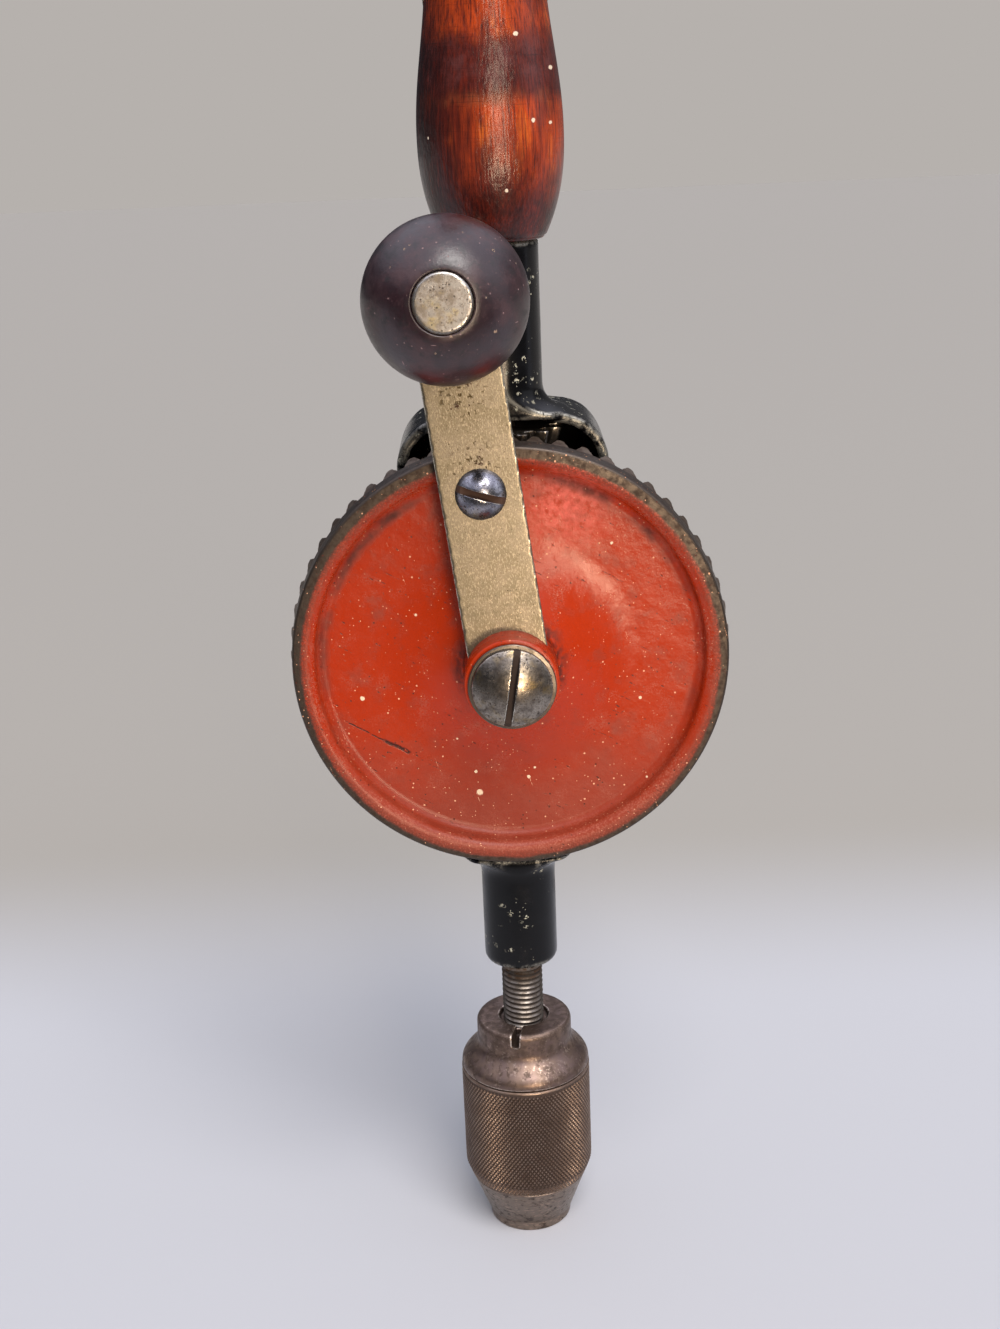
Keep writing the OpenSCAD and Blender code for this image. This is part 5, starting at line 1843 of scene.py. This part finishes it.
@dataclass
class Chuck:
    """The chuck: flared body with its key notch, knurled shell with a conical nose, and three jaws."""

    shell_r: float = 15.2 * MM
    shell_len: float = 41.5 * MM
    bore_r: float = 12.6 * MM
    nose_r: float = 9.7 * MM
    nose_in: float = 7 * MM
    lip: float = 2.5 * MM
    cone: float = 16 * MM
    cone_bore: float = 16.74 * MM
    edge: float = 0.5 * MM
    knurl_low: float = 12.6 * MM
    knurl_high: float = 41 * MM
    knurl_deep: float = 0.3 * MM
    knurl_bed: float = 0.02 * MM
    knurl_ease: Pair = (0.15 * MM, 0.2 * MM)
    diamonds: int = 100
    diamond_tall: float = 1.3 * MM
    body_r: float = 15.05 * MM
    body_low: float = 41.8 * MM
    band: float = 0.8 * MM
    neck_r: float = 11.1 * MM
    neck_low: float = 48.8 * MM
    neck_top: float = 54 * MM
    neck_edge: float = 1.3 * MM
    recess_r: float = 5.76 * MM
    recess: float = 1.2 * MM
    notch: Pair = (1.7 * MM, 3 * MM)
    notch_turn: float = -12.0
    over: float = 1 * MM
    nose_step: float = 0.4 * MM
    lip_step: float = 0.3 * MM
    slip: float = 0.1 * MM
    jaw_bore_r: float = 6 * MM
    skirt_low: float = 28 * MM
    body_face: float = 0.26 * MM
    jaw_face: float = 0.2 * MM
    full_edge: float = 1.6

    def cone_slope(self) -> float:
        """Return how fast the conical nose widens with height."""
        return (self.shell_r - self.nose_r - self.nose_step) / (self.cone - self.lip)

    def shell_outline(self) -> Outline:
        """Return the shell's half section, sunk where the knurl stands on it.

        Returns:
            Points as radius and height.
        """
        sunk = self.knurl_deep - self.knurl_bed
        cone_r = self.nose_r + self.nose_step
        start = cone_r + self.cone_slope() * (self.knurl_low - self.lip)
        return [
            (self.nose_in, 0.0), *arc((self.nose_r - self.edge, self.edge), self.edge, 270, 360, 5),
            (self.nose_r, self.lip - self.lip_step), (cone_r, self.lip), (start, self.knurl_low),
            (start - sunk + self.knurl_ease[0], self.knurl_low + self.knurl_ease[1]),
            (self.shell_r - sunk, self.cone), (self.shell_r - sunk, self.knurl_high),
            (self.shell_r - self.slip, self.knurl_high),
            *arc((self.shell_r - self.edge, self.shell_len - self.edge), self.edge, 0, 90, 5),
            (self.bore_r, self.shell_len), (self.bore_r, self.cone_bore)]

    def knurl(self, finish: Finish) -> Mesh:
        """Return the knurl: blunt diamonds in staggered rows, set by a node tree.

        Args:
            finish: Finish it carries.

        Returns:
            Mesh of the diamonds.
        """
        width = 2 * math.pi * self.shell_r / self.diamonds
        rows = int((self.knurl_high - self.knurl_low) / (self.diamond_tall / 2)) - 1
        foot = self.shell_r - self.knurl_deep

        def lay_out(tree: bpy.types.NodeTree, given: Mapping[str, Socket]) -> Socket:
            """Place one blunt pyramid for each diamond of the pattern.

            Args:
                tree: Tree to build in.
                given: Sockets of its named inputs.

            Returns:
                Socket with the finished geometry.
            """
            around = given["Diamonds"]
            count = add(tree, SUM, (around, given["Rows"]), operation="MULTIPLY")
            index = add(tree, "GeometryNodeInputIndex")
            middle = add(tree, SUM, (index, 0.5), operation="ADD")
            rounds = add(tree, SUM, (middle, around), operation="DIVIDE")
            row = add(tree, SUM, (rounds,), operation="FLOOR")
            place = add(tree, SUM, (row, 0.5, index), operation="MULTIPLY_ADD")
            sweep = add(tree, SUM, (place, 2 * math.pi), operation="MULTIPLY")
            angle = add(tree, SUM, (sweep, around), operation="DIVIDE")
            half_tall = add(tree, SUM, (given["Tall"], 2.0), operation="DIVIDE")
            half_wide = add(tree, SUM, (given["Wide"], 2.0), operation="DIVIDE")
            level = add(tree, SUM, (row, 1.0), operation="ADD")
            height = add(tree, SUM, (level, half_tall, given["Low"]), operation="MULTIPLY_ADD")
            past_cone = add(tree, SUM, (height, given["Cone"]), operation="SUBTRACT")
            tapered = add(tree, SUM, (past_cone, given["Slope"], given["Foot"]), operation="MULTIPLY_ADD")
            radius = add(tree, SUM, (tapered, given["Foot"]), operation="MINIMUM")
            ways = [add(tree, SUM, (angle,), operation=part) for part in ("COSINE", "SINE")]
            x, y = (add(tree, SUM, (radius, way), operation="MULTIPLY") for way in ways)
            spot = add(tree, "ShaderNodeCombineXYZ", {"X": x, "Y": y, "Z": height})
            points = add(tree, "GeometryNodePoints", {"Count": count, "Position": spot})
            pyramid = add(tree, "GeometryNodeMeshCone", {
                "Vertices": 4, "Radius Top": 0.26, "Radius Bottom": 1.0, "Depth": 1.0},
                out="Mesh", fill_type="NGON")
            size = add(tree, "ShaderNodeCombineXYZ", {
                "X": half_tall, "Y": half_wide, "Z": given["Deep"]})
            sized = add(tree, "GeometryNodeTransform", {"Geometry": pyramid, "Scale": size})
            outward = add(tree, "GeometryNodeTransform", {
                "Geometry": sized, "Rotation": (0, math.pi / 2, 0)})
            turn = add(tree, "ShaderNodeCombineXYZ", {"Z": angle})
            return add(tree, "GeometryNodeInstanceOnPoints", {
                "Points": points, "Instance": outward,
                "Rotation": add(tree, "FunctionNodeEulerToRotation", {"Euler": turn})})

        return grow("shell_knurl", {
            "Diamonds": self.diamonds, "Rows": rows, "Tall": self.diamond_tall, "Wide": width,
            "Deep": self.knurl_deep, "Low": self.knurl_low, "Cone": self.cone,
            "Slope": self.cone_slope(), "Foot": foot}, finish, lay_out)

    def body_mesh(self) -> Mesh:
        """Return the chuck body with its flared shoulder, neck, recess and notch.

        Returns:
            Mesh of the body.
        """
        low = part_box("chuck_body")[0].z
        band = self.body_low + self.band
        flare = [(self.neck_r + (self.body_r - self.neck_r) * (1 + math.cos(math.pi * u)) / 2,
                  band + (self.neck_low - band) * u) for u in (i / 24 for i in range(25))]
        skirt_r = self.bore_r - self.slip
        outline = [(0.0, low), (self.jaw_bore_r, low), (self.jaw_bore_r, self.skirt_low),
                   (skirt_r, self.skirt_low), (skirt_r, self.body_low),
                   (self.body_r, self.body_low), *flare,
                   *arc((self.neck_r - self.neck_edge, self.neck_top - self.neck_edge), self.neck_edge,
                        0, 90, 6), (self.recess_r, self.neck_top),
                   (self.recess_r, self.neck_top - self.recess), (0.0, self.neck_top - self.recess)]
        wide, deep = self.notch
        reach = 2 * (self.neck_r - self.recess_r)
        spot = Matrix.Rotation(math.radians(self.notch_turn), 4, "Z") @ Matrix.Translation(
            (0, (self.over - reach) / 2 - self.recess_r, self.neck_top + (self.over - deep) / 2))
        body = cut(lathe("body", outline, segments=256), block((wide, reach, deep + self.over), spot))
        body = rounded(body, self.body_face, full=self.full_edge)
        return fill_slot(body, wide, math.radians(self.notch_turn - 90), self.recess_r,
                         self.neck_top - deep - self.slip)

    def build(self, bench: Bench) -> None:
        """Make the body, the knurled shell and the jaws.

        Args:
            bench: Bench that holds the loaded drill.
        """
        steel = BrownedSteel()
        bench.set_piece("chuck_neck", self.body_mesh(), "chuck_body", steel)
        bench.set_piece("shell_sleeve", lathe("sleeve", self.shell_outline(), segments=192),
                        "chuck_shell", steel)
        bench.set_piece("shell_knurl", self.knurl(steel), "chuck_shell", steel, stands_for=False)
        for number in (1, 2, 3):
            node = f"chuck_jaw_{number}"
            mesh = rounded(bench.solid(node), self.jaw_face)
            bench.set_piece(f"jaw_{number}_ground", mesh, node, BrightSteel())
        bench.dress("jaw_nut", steel)
        bench.dress("shell_ring", BrightSteel())


@dataclass(frozen=True)
class Panel:
    """A soft panel light: place and size in metres, power in watts, colour, and beam in degrees."""

    name: str
    at: Triple
    size: Pair
    power: float
    tint: str
    beam: float = 180.0


@dataclass
class Studio:
    """The pale floor, the soft lights and the camera at the photograph's viewing angle."""

    image: tuple[int, int] = (1000, 1329)
    focal_px: float = 1750.0
    camera_at: Triple = (-2.3 * MM, -367.0 * MM, 263.95 * MM)
    pitch: float = 18.5
    roll: float = 2.3
    sensor: float = 36.0
    clip: Pair = (0.01, 30.0)
    floor_half: float = 4.0
    aim: Triple = (0.0, 0.0, 0.17)
    panels: tuple[Panel, ...] = (
        Panel("window_right", (1.5, -0.3, 0.75), (1.1, 1.1), 2.6, "#f0f3ff"),
        Panel("table_glow", (0.17, -0.8, 0.06), (0.16, 0.1), 0.22, "#ffe2bf", 60.0),
        Panel("window_front", (0.21, -0.85, 0.33), (0.2, 0.4), 0.3, "#ffedd2", 60.0))
    sky_from: Triple = (0.25, -0.62, 1.0)
    sky_strength: float = 2.2
    sky_spread: float = 34.0
    sky_tint: str = "#fffaf4"
    even_tint: str = "#ced0d6"
    even_strength: float = 0.7
    seen_tint: str = "#b6b1ad"
    wall_left: str = "#1d1f23"
    wall_right: str = "#4a494a"
    wall_turn: Pair = (-0.5, 0.6)
    zenith: str = "#d2d3e2"
    zenith_rise: Pair = (0.2, 0.85)
    room_strength: float = 2.0

    def camera(self) -> None:
        """Make the camera."""
        data = bpy.data.cameras.new("camera")
        data.sensor_width = self.sensor
        data.lens = self.sensor * self.focal_px / max(self.image)
        data.clip_start, data.clip_end = self.clip
        camera = put("camera", data)
        turn = (Matrix.Rotation(math.radians(90 - self.pitch), 4, "X")
                @ Matrix.Rotation(math.radians(-self.roll), 4, "Z"))
        camera.matrix_world = Matrix.Translation(self.camera_at) @ turn
        bpy.context.scene.camera = camera

    def lamp(self, panel: Panel) -> None:
        """Add one soft panel light that faces the drill and that the camera doesn't see.

        Args:
            panel: Size, place, colour and strength of the light.
        """
        data = bpy.data.lights.new(panel.name, "AREA")
        data.shape = "RECTANGLE"
        data.size, data.size_y = panel.size
        data.spread = math.radians(panel.beam)
        data.energy = panel.power
        data.color = linear(panel.tint)[:3]
        lamp = put(panel.name, data)
        lamp.visible_camera = False
        away = Vector(panel.at) - Vector(self.aim)
        facing = away.to_track_quat("Z", "Y").to_matrix().to_4x4()
        lamp.matrix_world = Matrix.Translation(panel.at) @ facing

    def sky(self) -> None:
        """Add one wide, even light from far off."""
        data = bpy.data.lights.new("sky", "SUN")
        data.energy = self.sky_strength
        data.angle = math.radians(self.sky_spread)
        data.color = linear(self.sky_tint)[:3]
        lamp = put("sky", data)
        lamp.matrix_world = Vector(self.sky_from).to_track_quat("Z", "Y").to_matrix().to_4x4()

    def floor(self) -> None:
        """Lay the floor."""
        half = self.floor_half
        mesh = bpy.data.meshes.new("floor")
        mesh.from_pydata([(-half, -half, 0), (half, -half, 0), (half, half, 0), (-half, half, 0)], [],
                         [(0, 1, 2, 3)])
        mesh.materials.append(PlainFloor().material())
        floor = put("floor", mesh)

    def surround(self) -> None:
        """Make the world: pale to the camera, even as light, and a grey room in reflections."""
        world = bpy.data.worlds.new("pale_surround")
        world.use_nodes = True
        tree = world.node_tree
        tree.nodes.clear()
        path = add(tree, "ShaderNodeLightPath").node.outputs
        light = add(tree, "ShaderNodeBackground", {
            "Color": linear(self.even_tint), "Strength": self.even_strength})
        sight = add(tree, "ShaderNodeBackground", {"Color": linear(self.seen_tint), "Strength": 1.0})
        towards = add(tree, "ShaderNodeSeparateXYZ", {
            "Vector": add(tree, "ShaderNodeTexCoord", out="Generated")}).node.outputs
        side, rise = (
            add(tree, "ShaderNodeMapRange", {"Value": towards[axis], "From Min": low, "From Max": high},
                interpolation_type="SMOOTHSTEP")
            for axis, (low, high) in (("X", self.wall_turn), ("Z", self.zenith_rise)))
        walls = add(tree, "ShaderNodeMix", {
            "Factor": side, "A": linear(self.wall_left), "B": linear(self.wall_right)}, data_type="RGBA")
        room = add(tree, "ShaderNodeMix", {
            "Factor": rise, "A": walls, "B": linear(self.zenith)}, data_type="RGBA")
        shine = add(tree, "ShaderNodeBackground", {"Color": room, "Strength": self.room_strength})
        lit = add(tree, "ShaderNodeMixShader", (path["Is Glossy Ray"], light, shine))
        mix = add(tree, "ShaderNodeMixShader", (path["Is Camera Ray"], lit, sight))
        add(tree, "ShaderNodeOutputWorld", {"Surface": mix})
        bpy.context.scene.world = world

    def build(self) -> None:
        """Set up floor, surround, lights and camera."""
        self.floor()
        self.surround()
        self.sky()
        for panel in self.panels:
            self.lamp(panel)
        self.camera()
        bpy.context.scene.view_settings.view_transform = "Standard"


def main() -> None:
    """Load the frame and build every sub-assembly on it."""
    logging.basicConfig(level=logging.INFO, format="%(message)s")
    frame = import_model()
    bench = Bench(frame)
    crank = Crank()
    FrameCasting().build(bench)
    TurnedHandle().build(bench)
    BevelGear().build(bench, crank.arm_frame(bench), crank.along_arm(crank.arm_screw_r), -crank.thick)
    crank.build(bench)
    SpindleAndPinions().build(bench)
    Chuck().build(bench)
    Studio().build()


if __name__ == "__main__":
    main()
